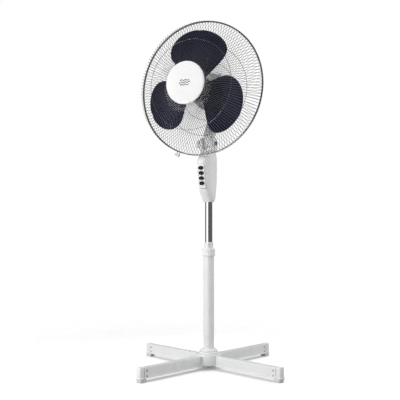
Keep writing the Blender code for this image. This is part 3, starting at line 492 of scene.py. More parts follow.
def bar_outline():
    """The folded channel's section in (across, up), with round folds and a turned-out bottom edge."""
    lip_top = BAR_BOTTOM + BAR_STEEL
    outer = [(BAR_LIP, BAR_BOTTOM), (BAR_LIP, lip_top), (BAR_SIDE, lip_top), (BAR_SIDE, BAR_TOP)]
    inner = [(BAR_SIDE - BAR_STEEL, BAR_TOP - BAR_STEEL), (BAR_SIDE - BAR_STEEL, BAR_BOTTOM)]
    outline = outer + [(-x, z) for x, z in reversed(outer)]
    outline += [(-x, z) for x, z in reversed(inner)] + inner
    return fillet(outline, 0.0016, closed=True)


def bar(name, angle, notch_low, notch_high):
    """A bar at its angle, with the notch in which it crosses the other one."""
    stations = [-BAR_HALF, -BAR_HALF + 0.02, BAR_HALF - 0.02, BAR_HALF]
    body = skin([[(x, y, z) for y, z in bar_outline()] for x in stations], capped=True)
    notch = block((-0.015, -0.03, notch_low), (0.015, 0.03, notch_high))
    turn = about_z(angle)
    piece(name + "_folded", placed(body, turn), "white_steel", "base", name, cuts=[placed(notch, turn)])


def base():
    lap = 0.029  # the height at which one bar's notch ends and the other's begins
    bar("base_bar_lower", BAR_ANGLES[0], lap, BAR_TOP + 0.01)
    bar("base_bar_upper", BAR_ANGLES[3], 0, lap)
    screw_x, screw_y = 0.287, BAR_SIDE - 0.0001
    for i, angle in enumerate(BAR_ANGLES):
        end_cap(i + 1, angle)
        for side, letter in ((-1, "a"), (1, "b")):
            outwards = Matrix.Rotation(-side * pi / 2, 4, "X")
            for row, height in enumerate((0.0190, 0.0355)):
                place = about_z(angle) @ at(screw_x, side * screw_y, height, outwards)
                screw_head(f"bar_screw_{i + 1}_{letter}{row + 1}", place, "base", 0.0027, 0.0012)


def end_cap(number, angle):
    """The cap that closes a bar's end, its tongue inside the bar, and the pad under it."""
    turn = about_z(angle) @ at(BAR_HALF)
    length, half, edge = 0.020, 0.0107, 0.0012
    outline = [(CLEARANCE, -half), (length, -half), (length, half), (CLEARANCE, half)]
    outline = fillet(outline, 0.0060, closed=True, steps=8)
    shell = prism(outline, BAR_BOTTOM - 0.0005, BAR_TOP + 0.0008, edge)
    shoe = [(x * 1.14 - 0.001, y * 1.22) for x, y in outline]
    skirt = prism(shoe, BAR_BOTTOM - 0.0008, BAR_BOTTOM + 0.0032, edge)
    tongue = block((-0.022, -0.0078, BAR_BOTTOM + 0.003), (0.002, 0.0078, BAR_TOP - 0.0022), 0.001)
    moulded(f"end_cap_{number}", placed(merged(shell, skirt, tongue), turn), "base")
    back, front, side = -0.0080, 0.0182, 0.0118
    foot = [(back, -side), (front, -side), (front, side), (back, side)]
    pad = prism(fillet(foot, 0.0060, closed=True, steps=6), 0.0, BAR_BOTTOM - 0.0012, 0.0018)
    moulded(f"foot_pad_{number}", placed(pad, turn), "base", "foot_rubber")


def hub():
    """The drum in which the bars cross, the flange on it, and the collar round the outer tube's foot."""
    low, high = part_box("base_hub")
    drum = lathe(fillet([(0, low.z), (high.x, low.z), (high.x, high.z), (0, high.z)], 0.0022, steps=5), 96)
    cuts = []
    for angle in BAR_ANGLES[:2]:
        for half, top in ((BAR_SIDE, BAR_TOP), (BAR_LIP, BAR_BOTTOM + BAR_STEEL)):
            slot = block((-0.06, -half - CLEARANCE, 0), (0.06, half + CLEARANCE, top + CLEARANCE))
            cuts.append(placed(slot, about_z(angle)))
    moulded("base_hub", drum, "base", cuts=cuts, edge=0.0005)

    low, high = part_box("hub_flange")
    bore = 0.0045
    profile = [(bore, low.z), (high.x, low.z), (high.x, high.z), (bore, high.z)]
    moulded("hub_flange", lathe(fillet(profile, 0.0028, True, 5), 96), "base")

    low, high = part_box("tube_collar")
    bore = TUBE_RADIUS + CLEARANCE
    profile = [(bore, low.z), (high.x, low.z), (high.x, high.z - 0.0030), (high.x - 0.0045, high.z),
               (bore, high.z)]
    moulded("tube_collar", lathe(fillet(profile, 0.0018, True, 5), 96), "base")


# ---- column


def pipe(inner, outer, low, high, edge):
    """A turned pipe, with rows near its ends that keep its wall's shading straight."""
    near = 0.003
    wall = [(outer, low), (outer, low + near), (outer, high - near), (outer, high)]
    return lathe(fillet([(inner, low)] + wall + [(inner, high)], edge, closed=True), 96)


def column_tubes():
    low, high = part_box("outer_tube")
    body = pipe(TUBE_RADIUS - 0.0014, TUBE_RADIUS, low.z, high.z, 0.0005)
    piece("outer_tube_painted", body, "white_steel", "base", "outer_tube")
    low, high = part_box("inner_tube")
    body = pipe(CHROME_RADIUS - 0.0012, CHROME_RADIUS, low.z, high.z, 0.0004)
    piece("inner_tube_plated", body, "chrome", "column", "inner_tube")


def height_sleeve():
    """The sleeve in the outer tube's mouth, with a collet that is split into six fingers."""
    low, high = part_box("height_sleeve")
    bore = CHROME_RADIUS + CLEARANCE
    plug, shoulder, thread = TUBE_RADIUS - 0.0017, 0.0180, 0.0160
    neck_radius, lip = 0.0150, 0.0156
    seat, top = TUBE_TOP + CLEARANCE, high.z
    profile = [(bore, low.z), (plug, low.z), (plug, seat), (shoulder, seat), (shoulder, seat + 0.0044),
               (thread, seat + 0.0044), (thread, top - 0.0215), (neck_radius, top - 0.0205),
               (neck_radius, top - 0.0075), (lip, top - 0.0065), (lip, top - 0.0025), (0.0143, top),
               (bore, top)]
    slits = []
    for i in range(6):
        slit = block((0.010, -0.0006, top - 0.0195), (0.02, 0.0006, top + 0.01))
        slits.append(placed(slit, about_z(pi / 3 * i)))
    sleeve = lathe(fillet(profile, 0.0008, closed=True), 96)
    piece("height_sleeve_split", sleeve, "white_plastic", "base", "height_sleeve", cuts=slits)


# Share of the height nut's height, and change of its radius there
NUT_SECTIONS = (
    (0.0, -0.0016),
    (0.04, -0.0004),
    (0.08, 0.0),
    (0.24, 0.0),
    (0.30, -0.0003),
    (0.74, -0.0003),
    (0.80, -0.0005),
    (0.94, -0.0010),
    (0.98, -0.0016),
    (1.0, -0.0026),
)


def height_nut():
    low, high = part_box("height_nut")
    ribs, steps, depth = 18, 12, 0.0012
    rows = []
    for share, grow in NUT_SECTIONS:
        row = []
        ribbed = 0.27 < share < 0.78
        for i in range(ribs * steps):
            angle = 2 * pi * i / (ribs * steps)
            wave = abs(sin(ribs * angle / 2)) ** 0.6 if ribbed else 1.0
            reach = high.x - depth + grow + depth * wave
            row.append((reach * cos(angle), reach * sin(angle), low.z + share * (high.z - low.z)))
        rows.append(row)
    around_tube = plain_rod(0.0185, low.z - 0.01, TUBE_TOP + 0.0051)
    around_collet = plain_rod(0.0164, low.z - 0.01, high.z + 0.01)
    piece("height_nut_ribbed", skin(rows, capped=True), "white_plastic", "height_nut", "height_nut",
          cuts=[around_tube, around_collet])


# The control housing's height above its foot, half width, reach to the front, and reach to the back
HOUSING_SECTIONS = (
    (0.0, 0.0160, 0.0160, 0.0160),
    (0.0095, 0.0200, 0.0225, 0.0200),
    (0.0275, 0.0225, 0.0340, 0.0235),
    (0.0455, 0.0240, 0.0440, 0.0260),
    (0.0685, 0.0250, 0.0515, 0.0275),
    (0.0985, 0.0258, 0.0560, HOUSING_BACK),
    (0.1285, 0.0260, 0.0590, HOUSING_BACK),
    (0.1425, 0.0260, 0.0580, HOUSING_BACK),
    (0.1545, 0.0250, 0.0480, 0.0272),
    (0.1655, 0.0232, 0.0370, 0.0255),
    (HOUSING_HIGH - HOUSING_LOW, 0.0210, 0.0260, 0.0230),
)
SQUARENESS = 0.74  # 1 makes its sections elliptic, and less makes them boxy
HOUSING_WALL = 0.0025
HOUSING_SEAM_Y = 0.0036


def housing_rows(inset=0.0):
    """The control housing's sections as rows of points, moved inwards by an inset."""
    points = 72
    rows = []
    for height, width, front, back in curve_through(HOUSING_SECTIONS, 4):
        row = []
        for i in range(points):
            angle = 2 * pi * (i + 0.5) / points
            s, c = sin(angle), cos(angle)
            x = (width - inset) * abs(s) ** SQUARENESS * (1 if s > 0 else -1)
            y = -((front if c > 0 else back) - inset) * abs(c) ** SQUARENESS * (1 if c > 0 else -1)
            row.append((x, y, HOUSING_LOW + height))
        rows.append(row)
    return rows


# The button panel's sloping face
PANEL_LOW_Z, PANEL_HIGH_Z = (corner.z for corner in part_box("button_panel"))
PANEL_LOW_Y, PANEL_HIGH_Y = -0.0472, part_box("button_panel")[LOW].y

# Each button's node, and its body
BUTTONS = {f"speed_button_{i}": f"button_{i or 'off'}" for i in range(4)}


def panel_y(height):
    share = (height - PANEL_LOW_Z) / (PANEL_HIGH_Z - PANEL_LOW_Z)
    return PANEL_LOW_Y + share * (PANEL_HIGH_Y - PANEL_LOW_Y)


def panel_rows(grow, offsets):
    """Copies of the panel's outline, each at an offset along Y and inset by its own amount."""
    half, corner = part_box("button_panel")[HIGH].x + grow, 0.003
    low, high = PANEL_LOW_Z - grow, PANEL_HIGH_Z + grow
    outline = [(-half + corner, low), (half - corner, low), (half, low + corner)]
    outline += arc(half, 0, pi, 24, (0, high - half)) + [(-half, low + corner)]
    rows = []
    for offset, inset in offsets:
        rows.append([(x, panel_y(z) + offset, z) for x, z in shrunk(outline, inset)])
    return rows


def housing_shell(node, is_front):
    """One half of the control housing: the hollow body, cut at the seam and opened where parts go through."""
    low, high = HOUSING_LOW + 0.004, HOUSING_HIGH - HOUSING_WALL
    hollow = [[(x, y, min(max(z, low), high)) for x, y, z in row] for row in housing_rows(HOUSING_WALL)]
    under, over, far = HOUSING_LOW - 0.02, HOUSING_HIGH + 0.02, 0.1
    if is_front:
        other_half = block((-far, HOUSING_SEAM_Y, under), (far, far, over))
    else:
        other_half = block((-far, -far, under), (far, HOUSING_SEAM_Y + 0.0005, over))
    column_hole = plain_rod(CHROME_RADIUS + CLEARANCE, under, HOUSING_LOW + 0.03)
    yoke_hole = plain_rod(0.0174, HOUSING_HIGH - 0.021, over)
    cuts = [skin(hollow[2:-2], capped=True), column_hole, yoke_hole, other_half]
    if is_front:
        cuts.append(skin(panel_rows(0.0004, ((-0.01, 0), (0.02, 0))), capped=True))
    else:
        fittings = {"cord_inlet": 0.0065, "housing_screw_lower": 0.0042, "housing_screw_upper": 0.0042}
        for fitting, radius in fittings.items():
            hole = plain_rod(radius, 0.015, 0.05, 32)
            cuts.append(placed(hole, at(z=middle(fitting).z, turn=FRONT_Z_TO_Y)))
    moulded(node, skin(housing_rows(), capped=True), "column", cuts=cuts, edge=0.0004, angle=28)


def button_panel():
    """The panel in the front of the housing, with a hole for each of its four buttons, and the buttons."""
    panel = panel_rows(0.0, ((0.0, 0.0014), (0.0002, 0.0007), (0.0008, 0.0), (0.0070, 0.0)))
    gap = 0.0004
    holes = []
    for node in BUTTONS:
        half_width, half_height = button_size(node)
        radius = half_height + gap
        hole = oval(plain_rod(radius, -0.08, -0.03, 48), half_width + gap, radius)
        holes.append(placed(hole, at(z=middle(node).z, turn=FRONT_Z_TO_Y)))
    moulded("button_panel", skin(panel, capped=True), "column", "white_gloss", cuts=holes, edge=0.0003)
    for node, body in BUTTONS.items():
        push_button(node, body)


def button_size(node):
    """Half a button's width, and half its height."""
    low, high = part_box(node)
    return high.x, (high.z - low.z) / 2


def push_button(node, body):
    """An oval cap with a crowned face and a rounded rim."""
    centre = middle(node).z
    half_width, radius = button_size(node)
    rim, shoulder = 0.0018, 0.0046
    profile = [(0, -0.0082), (radius - 0.001, -0.0082), (radius, -0.0078), (radius, shoulder)]
    for i in range(1, 6):
        turn = pi / 12 * i
        profile.append((radius - rim * (1 - cos(turn)), shoulder + rim * sin(turn)))
    profile += [(radius - 0.0024, 0.0069), (radius - 0.0040, 0.0077), (0, 0.0080)]
    cap = oval(lathe(profile, 64), half_width, radius)
    piece(f"{node}_cap", placed(cap, at(0, panel_y(centre), centre, Z_TO_FRONT)), "black_plastic", body, node)


def housing_trim():
    """The cord inlet and the screws at the back of the control housing."""
    low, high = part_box("cord_inlet")
    bore, root, flange, step = 0.0035, 0.0062, 0.0088, low.y + 0.0085
    profile = [(bore, low.y), (root, low.y), (root, step), (flange, step), (flange, step + 0.0020),
               (0.0066, high.y - 0.0005), (0.0050, high.y), (bore, high.y)]
    inlet = lathe(fillet(profile, 0.0007, closed=True), 40)
    place = at(z=middle("cord_inlet").z, turn=FRONT_Z_TO_Y)
    moulded("cord_inlet", placed(inlet, place), "column", "foot_rubber")
    for node in ("housing_screw_lower", "housing_screw_upper"):
        place = at(0, HOUSING_BACK, middle(node).z, FRONT_Z_TO_Y)
        screw_head(node + "_head", place, "column", 0.0036, 0.0022, node)


# ---- tilt joint and neck


# The neck's height above the tilt bolt, its middle along Y, and its radius
NECK_SECTIONS = (
    (0.0230, 0.0030, 0.0195),
    (0.0340, 0.0080, 0.0215),
    (0.0520, 0.0170, 0.0212),
    (0.0700, 0.0260, 0.0192),
    (0.0820, 0.0290, 0.0176),
    (0.0900, 0.0300, 0.0170),
    (0.1305, 0.0300, 0.0170),
)


def neck():
    """The neck: its stem, the tongue and eye at the tilt bolt, and the lug and pin of the crank link."""
    rows = []
    angles = [2 * pi * i / 64 for i in range(64)]
    for height, centre, radius in curve_through(NECK_SECTIONS, 5):
        rows.append([(radius * cos(a), centre + radius * sin(a), TILT_Z + height) for a in angles])
    stem = skin(rows, capped=True)
    half = 0.0126
    tongue = block((-half, -0.0125, TILT_Z), (half, 0.0125, TILT_Z + 0.026), 0.001)
    eye = placed(rod(0.0130, -half, half, 0.001, 48), at(z=TILT_Z, turn=Z_TO_RIGHT))
    pivot_x, pivot_y, lug_half, root_x = 0.027, NECK_SECTIONS[-1][1], 0.0062, 0.012
    lug = [(root_x, pivot_y - lug_half)] + arc(lug_half, -pi / 2, pi / 2, 12, (pivot_x, pivot_y))
    lug.append((root_x, pivot_y + lug_half))
    link_low, link_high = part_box("crank_link")
    lug_top = link_low.z - CLEARANCE
    pin = placed(rod(0.0025, lug_top - 0.0007, link_high.z + 0.0023, 0.0005, 20), at(pivot_x, pivot_y))
    body = merged(stem, tongue, eye, prism(lug, lug_top - 0.0087, lug_top, 0.0008), pin)
    moulded("neck", body, "neck")


def tilt_joint():
    """The knob with its five lobes, the yoke and the bolt."""
    knob_low, knob_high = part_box("tilt_knob")
    grip_x = -0.031
    grip = prism(lobed(0.0127, 0.0018, 5, 120), -grip_x, -knob_low.x, 0.0016)
    stem = rod(0.0085, -knob_high.x, -grip_x + 0.0005, 0.0006, 40)
    turn = at(z=TILT_Z, turn=Matrix.Rotation(-pi / 2, 4, "Y"))
    moulded("tilt_knob", placed(merged(grip, stem), turn), "tilt_knob")
    refined("tilt_yoke", 0.0015)
    refined("tilt_bolt", 0.0004)


def refined(node, edge):
    """The CAD node's own shape with merged vertices, rounded edges and smooth shading."""
    source = nodes[node]
    body = bmesh.new()
    body.from_mesh(source.data)
    bmesh.ops.remove_doubles(body, verts=body.verts, dist=0.000002)
    bmesh.ops.dissolve_limit(body, angle_limit=radians(0.5), verts=body.verts, edges=body.edges)
    slot = source.data.materials[0].name.split(".")[0]
    piece(node + "_finished", body, slot, source["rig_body"], node, edge=edge, angle=35)


# ---- motor


def motor_cover():
    """The rear cover, with a step round its rim, slots and a screw at the back, and slits in its sides."""
    low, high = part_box("motor_cover")
    radius = (high.x - low.x) / 2
    wall, step, straight = 0.0025, 0.0012, 0.106
    outside = [(radius - step, low.y), (radius - step, low.y + 0.0040), (radius, low.y + 0.0052)]
    inside = [(radius - wall - step, low.y)]
    for i in range(17):
        turn = pi / 2 * i / 16
        reach = high.y - straight
        outside.append((radius * cos(turn), straight + reach * sin(turn)))
        inside.append(((radius - wall) * cos(turn), straight + (reach - wall) * sin(turn)))
    outside[-1], inside[-1] = (0, high.y), (0, high.y - wall)
    body = placed(lathe(outside + inside[::-1], 96), HEAD_AXIS)

    gear_opening = block((-0.045, 0.006, low.z - 0.01), (0.045, 0.1185, HEAD_Z - 0.044))
    clutch_hole = placed(rod(0.0035, high.z - 0.014, high.z + 0.016), at(y=middle("clutch_knob").y))
    cuts = [gear_opening, clutch_hole]
    slots = 20
    for i in range(slots):
        slot = fillet([(0.018, -0.0016), (0.040, -0.0020), (0.040, 0.0020), (0.018, 0.0016)], 0.0015, True, 4)
        cutter = prism(slot, high.y - 0.023, high.y + 0.012)
        cuts.append(placed(cutter, HEAD_AXIS @ about_z(2 * pi * (i + 0.5) / slots)))
    slit_width, slit_low, slit_high = 0.0034, 0.012, 0.034
    for side in (-1, 1):
        sideways = at(z=HEAD_Z) @ Matrix.Rotation(side * pi / 2, 4, "Y") @ about_z(pi / 2)
        sideways = sideways @ Matrix.Scale(-side, 4, (0, 1, 0))
        for i in range(9):
            near = 0.022 + 0.0085 * i
            far = near + slit_width
            slit = [(near, slit_low), (far, slit_low), (far, slit_high), (near, slit_high)]
            cuts.append(placed(prism(fillet(slit, 0.0016, True, 4), 0.04, 0.08), sideways))
    moulded("motor_cover", body, "head", cuts=cuts, edge=0.0004, angle=30)
    screw_head("motor_cover_screw", at(0, high.y - 0.0006, HEAD_Z, FRONT_Z_TO_Y), "head", 0.0040, 0.0022)


def clutch():
    centre = middle("clutch_knob")
    low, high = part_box("clutch_knob")
    radius = (high.x - low.x) / 2
    stem, under = 0.003, high.z - 0.016
    profile = [(0, low.z), (stem, low.z), (stem, under), (radius - 0.0012, under), (radius, under + 0.0025),
               (radius, under + 0.010), (radius - 0.0010, high.z - 0.0020), (radius - 0.0035, high.z),
               (0, high.z)]
    body = placed(lathe(fillet(profile, 0.0012), 48), at(centre.x, centre.y))
    moulded("clutch_knob", body, "clutch_knob")


def plain_parts():
    """The motor, the gear and the hidden parts of the column and the base, as the CAD has them."""
    for node in ("motor_front_bracket", "motor_rear_bracket", "gear_housing", "gear_cover"):
        refined(node, 0.0008)
    for node in ("stator", "rotor_core", "front_bearing", "rear_bearing", "rotor_shaft", "crank_disc",
                 "crank_link", "base_bolt", "base_clamp_disc", "tube_plug", "tube_bush", "switch_block",
                 "run_capacitor"):
        refined(node, 0.0004)
    for node in ("worm_wheel", "crank_gear"):
        refined(node, 0.0)


def coils():
    """The copper windings that stand out of the stator at both ends, four to an end."""
    radius, span, steps = 0.0315, 1.33, 12
    low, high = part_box("stator")
    body = bmesh.new()
    for y in (low.y - 0.0013, high.y + 0.0023):
        for i in range(4):
            start = pi / 2 * i + 0.12
            angles = [start + t * span / steps for t in range(steps + 1)]
            tube(body, [round_head(radius, y, angle) for angle in angles], 0.0030, 10)
    piece("stator_windings", body, COPPER, "head")


# ---- cage

WIRES = 132  # in each grille
FINE_WIRE = 0.0006  # radius of the wires
RING_WIRE = 0.0007  # of the rings that hold them
RIM_WIRE = 0.0015  # of the ring at each grille's rim
WALL_DEPTH = 0.022  # of the front grille's straight rim, before its rounded face begins
DOME_DEPTH = 0.106  # of the whole front grille
MID_RING = 0.150  # radius of the ring in front of the blades
WIRE_SHADING = 80  # degrees: keeps the thin wires smooth


def dome_depth(radius):
    """How far in front of the rim the front grille's wires run at a radius."""
    inner, outer = BADGE_RADIUS + 0.003, WIRE_RADIUS
    share = (max(radius, inner) - inner) / (outer - inner)
    return WALL_DEPTH + (DOME_DEPTH - 0.002 - WALL_DEPTH) * (1 - share**1.6)


def wires_along(path, swirl=lambda radius: 0.0):
    """All wires of a grille along a path of (radius, y), turned by a swirl that depends on the radius."""
    body = bmesh.new()
    for i in range(WIRES):
        angle = 2 * pi * (i + 0.5) / WIRES
        tube(body, [round_head(radius, y, angle + swirl(radius)) for radius, y in path], FINE_WIRE)
    return body


def loop_wire(body, radius, y, wire):
    steps = 200
    path = [round_head(radius, y, 2 * pi * i / steps) for i in range(steps)]
    tube(body, path, wire, sides=8, closed=True)


def front_grille():
    corner_y = RIM_Y - WALL_DEPTH
    path = [(WIRE_RADIUS, RIM_Y - 0.0020), (WIRE_RADIUS, corner_y + 0.006),
            (WIRE_RADIUS - 0.0004, corner_y + 0.002)]
    inner, steps = BADGE_RADIUS - 0.004, 14
    for i in range(1, steps + 1):
        radius = WIRE_RADIUS + (inner - WIRE_RADIUS) * i / steps
        path.append((radius, RIM_Y - dome_depth(radius)))
    piece("front_grille_wires", wires_along(path), "plated_wire", "head", "front_grille", angle=WIRE_SHADING)
    rings = bmesh.new()
    loop_wire(rings, WIRE_RADIUS + RIM_WIRE - FINE_WIRE, RIM_Y - 0.0016, RIM_WIRE)
    loop_wire(rings, MID_RING, RIM_Y - dome_depth(MID_RING) + FINE_WIRE + RING_WIRE, RING_WIRE)
    loop_wire(rings, BADGE_RADIUS - 0.003, RIM_Y - DOME_DEPTH + 0.0045, 0.0018)
    piece("front_grille_rings", rings, "plated_wire", "head", angle=WIRE_SHADING)


def bowl_y(radius):
    """Where the rear grille's wires run at a radius: flat in the middle, curving towards the rim."""
    depth, flat = REAR_PLATE_Y - (RIM_Y + 0.0065), 0.090
    out = max(0.0, (radius - flat) / (WIRE_RADIUS - flat))
    return REAR_PLATE_Y - depth * out**1.3


def rear_grille():
    path = [(WIRE_RADIUS, RIM_Y + 0.0020)]
    inner, outer, steps = 0.058, WIRE_RADIUS * 0.985, 16
    for i in range(steps + 1):
        radius = outer + (inner - outer) * i / steps
        path.append((radius, bowl_y(radius)))
    wires = wires_along(path, lambda radius: 0.10 * (1 - radius / WIRE_RADIUS))
    piece("rear_grille_wires", wires, "plated_wire", "head", "rear_grille", angle=WIRE_SHADING)
    rings = bmesh.new()
    loop_wire(rings, WIRE_RADIUS + RIM_WIRE - FINE_WIRE, RIM_Y + 0.0016, RIM_WIRE)
    for radius in (WIRE_RADIUS * 0.69, 0.100):
        loop_wire(rings, radius, bowl_y(radius) + FINE_WIRE + RING_WIRE, RING_WIRE)
    piece("rear_grille_rings", rings, "plated_wire", "head", angle=WIRE_SHADING)
    bore = 0.0255
    profile = [(bore, -0.0007), (0.0600, -0.0007), (0.0612, 0.0006), (0.0600, 0.0013), (0.0400, 0.0013),
               (0.0380, 0.0002), (bore, 0.0002)]
    profile = [(radius, REAR_PLATE_Y - 0.0016 + y) for radius, y in profile]
    plate = lathe(fillet(profile, 0.0004, closed=True), 96)
    piece("rear_grille_plate", placed(plate, HEAD_AXIS), "white_steel", "head")


def grille_nut():
    """The nut that holds the rear grille, with eight wings round it."""
    low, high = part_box("grille_nut")
    outer, bore = (high.x - low.x) / 2, 0.0233
    profile = [(bore, high.y), (outer, high.y), (outer, high.y - 0.0055), (outer - 0.0035, low.y),
               (bore, low.y)]
    wings = []
    half = 0.0016
    for i in range(8):
        wing = block((outer - 0.002, -half, low.y + 0.004), (outer + 0.0012, half, high.y - 0.0008), 0.0006)
        wings.append(placed(wing, about_z(pi / 4 * i)))
    body = merged(lathe(fillet(profile, 0.0008, closed=True), 64), *wings)
    moulded("grille_nut", placed(body, HEAD_AXIS), "head")


def hoop():
    """The hoop round both rims, with the clamp's two lugs and its screw at the lower left."""
    clamp = radians(248)
    low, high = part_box("rim_band")
    half = (high.y - low.y) / 2
    outer, inner = RIM_RADIUS, WIRE_RADIUS + 2 * RIM_WIRE - FINE_WIRE
    wide, gap = 0.95 * half, 0.0020
    profile = fillet([(inner, -wide), (outer, -wide), (outer, wide), (inner, wide)], 0.0007, closed=True)
    body = placed(lathe([(radius, RIM_Y + y) for radius, y in profile], 240), HEAD_AXIS)
    turn = at(z=HEAD_Z) @ Matrix.Rotation(-clamp, 4, "Y")
    opening = placed(block((0.20, RIM_Y - 0.01, -gap), (0.26, RIM_Y + 0.01, gap)), turn)
    piece("rim_band_rolled", body, "plated_wire", "head", "rim_band", cuts=[opening])
    lugs = []
    front, back = RIM_Y - half + 0.0003, RIM_Y + half - 0.0003
    for near, far in ((-0.0070, -gap), (gap, 0.0070)):
        lug = block((inner + 0.0008, front, near), (outer + 0.0160, back, far), 0.0012)
        lugs.append(placed(lug, turn))
    piece("clamp_lugs", merged(*lugs), "white_plastic", "head")
    screw = turn @ at(outer + 0.0100, RIM_Y, 0.0072)
    screw_head("clamp_screw_head", screw, "head", 0.0029, 0.0024, "band_screw")
    shank = rod(0.0014, -0.0182, 0.001, 0.0003, 20)
    hexagon = [(0.0027 * cos(pi / 3 * i), 0.0027 * sin(pi / 3 * i)) for i in range(6)]
    body = merged(shank, prism(hexagon, -0.0172, -0.0144, 0.0004))
    piece("clamp_screw_shank", placed(body, screw), "zinc_steel", "head")


def badge():
    """The crowned disc in the front grille, with a plain sign for moving air: three short waves."""
    face, radius = BADGE_Y, BADGE_RADIUS + 0.0014
    back, socket_outer, socket_inner = face + 0.0060, 0.0470, 0.0440
    profile = [(0, face), (0.020, face + 0.00015), (0.040, face + 0.0006), (0.055, face + 0.0012),
               (radius - 0.0045, face + 0.0019), (radius - 0.0015, face + 0.0028), (radius, face + 0.0044),
               (radius, face + 0.0062), (radius - 0.002, face + 0.0062), (socket_outer, back),
               (socket_outer, face + 0.0120), (socket_inner, face + 0.0120), (socket_inner, back), (0, back)]
    moulded("badge_disc", placed(lathe(profile, 128), HEAD_AXIS), "head", "white_gloss")
    wave_length, wave_height, line = 0.0140, 0.0017, 0.0011
    sign = bmesh.new()
    for row, half in ((0.0075, 0.016), (0.0, 0.021), (-0.0075, 0.016)):
        path = []
        for i in range(33):
            x = half * (2 * i / 32 - 1)
            path.append((x, face + 0.0001, HEAD_Z + row + wave_height * sin(x * 2 * pi / wave_length)))
        tube(sign, path, line, 8)
    piece("badge_sign", sign, MARK_INK, "head", angle=WIRE_SHADING)


# ---- rotor

HUB_RADIUS = 0.043
BLADE_Y = -0.094
BLADE_ADVANCE = 0.030  # along Y for each radian of the blade's width, which is its pitch
BLADE_CAMBER = 0.004
FIRST_BLADE = radians(86)
SHOULDER = 0.115  # radius at which a blade is widest
LEADING_EDGE = (radians(41.5), 3.3)  # half width as an angle, and how full the corner is
TRAILING_EDGE = (radians(44.5), 1.8)
ROOT_SHARE = 0.88  # width at the hub, as a share of the widest


def blade_angle(radius, side):
    """Half the blade's angular width at a radius, on its leading (-1) or trailing (1) side."""
    widest, fullness = TRAILING_EDGE if side > 0 else LEADING_EDGE
    if radius > SHOULDER:
        share = min(1.0, (radius - SHOULDER) / (BLADE_TIP + 0.0002 - SHOULDER))
        return widest * sqrt(1 - share**fullness)
    share = (radius - HUB_RADIUS) / (SHOULDER - HUB_RADIUS)
    return widest * (ROOT_SHARE + (1 - ROOT_SHARE) * sin(share * pi / 2))


def blade_body(turn):
    """One blade as a closed skin: thin at its edges, cambered, and pitched along Y."""
    stations, columns = 36, 32
    root = HUB_RADIUS - 0.0015
    rows = []
    for i in range(stations + 1):
        radius = root + (BLADE_TIP - root) * sin(pi / 2 * i / stations)
        rim = min(1.0, (BLADE_TIP - radius) / 0.006)
        front, back = [], []
        for j in range(columns + 1):
            side = -cos(pi * j / columns)
            angle = side * blade_angle(radius, side)
            y = BLADE_Y - BLADE_ADVANCE * angle + BLADE_CAMBER * (1 - side * side)
            thick = 0.0004 + 0.0009 * sqrt(max(0.0, 1 - side**8)) * sqrt(max(0.0, rim))
            front.append(round_head(radius, y - thick, angle + turn))
            back.append(round_head(radius, y + thick, angle + turn))
        rows.append(front + back[::-1])
    blade = skin(rows)
    bmesh.ops.holes_fill(blade, edges=[edge for edge in blade.edges if edge.is_boundary], sides=0)
    return blade


def fan_blade():
    """The hub as a cup with ribs inside, and its three blades."""
    bore, boss, inside = 0.0043, 0.0100, HUB_RADIUS - 0.0025
    front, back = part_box("fan_blade")[LOW].y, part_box("fan_blade")[HIGH].y
    profile = [(bore, front), (0.0300, front), (0.0390, front + 0.0025), (HUB_RADIUS, front + 0.0090),
               (HUB_RADIUS, back), (inside, back), (inside, front + 0.0120), (boss, front + 0.0060),
               (boss, back - 0.0160), (bore, back - 0.0160)]
    bodies = [placed(lathe(fillet(profile, 0.0025, closed=True, steps=4), 96), HEAD_AXIS)]
    bodies += [blade_body(FIRST_BLADE + 2 * pi * i / 3) for i in range(3)]
    for i in range(6):
        rib = block((boss - 0.001, -0.0009, front + 0.0050), (HUB_RADIUS - 0.002, 0.0009, back - 0.0220))
        bodies.append(placed(rib, HEAD_AXIS @ about_z(pi / 3 * i)))
    moulded("fan_blade", merged(*bodies), "rotor", "blade_plastic", angle=40)


def blade_nut():
    low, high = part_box("blade_nut")
    outer, ribs = (high.x - low.x) / 2, 0.0006
    near, far = -high.y, -low.y
    grip = prism(lobed(outer - ribs, ribs, 20, 160), near, near + 0.0072, 0.0006)
    tip_near = near + 0.0067
    profile = [(0, tip_near), (0.0115, tip_near), (0.0100, far - 0.0030), (0.0060, far - 0.0005), (0, far)]
    body = merged(grip, lathe(profile, 48))
    moulded("blade_nut", placed(body, at(z=HEAD_Z, turn=Z_TO_FRONT)), "rotor", "blade_plastic")


# ---- studio

CAMERA_AZIMUTH = radians(26.89)
CAMERA_DISTANCE = 2.326
CAMERA_HEIGHT = 0.487
CAMERA_PITCH = radians(2.14)
CAMERA_YAW = radians(-0.743)
CAMERA_LENS = 60.75
FILL = 0.50  # the backdrop's light on matt surfaces
GLOSSY_SHARE = 0.3  # how much of it shows in glossy surfaces
FLOOR_RADIUS = 3.0


def from_camera(right, near, height):
    """A place given as metres to the camera's right, towards the camera, and up."""
    across, along = cos(CAMERA_AZIMUTH), sin(CAMERA_AZIMUTH)
    return Vector((across * right + along * near, along * right - across * near, height))


def camera():
    """The camera of the main view."""
    made = linked("camera", bpy.data.cameras.new("camera"))
    made.data.sensor_width = 36
    made.data.lens = CAMERA_LENS
    made.location = from_camera(0, CAMERA_DISTANCE, CAMERA_HEIGHT)
    made.rotation_euler = (pi / 2 + CAMERA_PITCH, 0, CAMERA_AZIMUTH - CAMERA_YAW)
    bpy.context.scene.camera = made


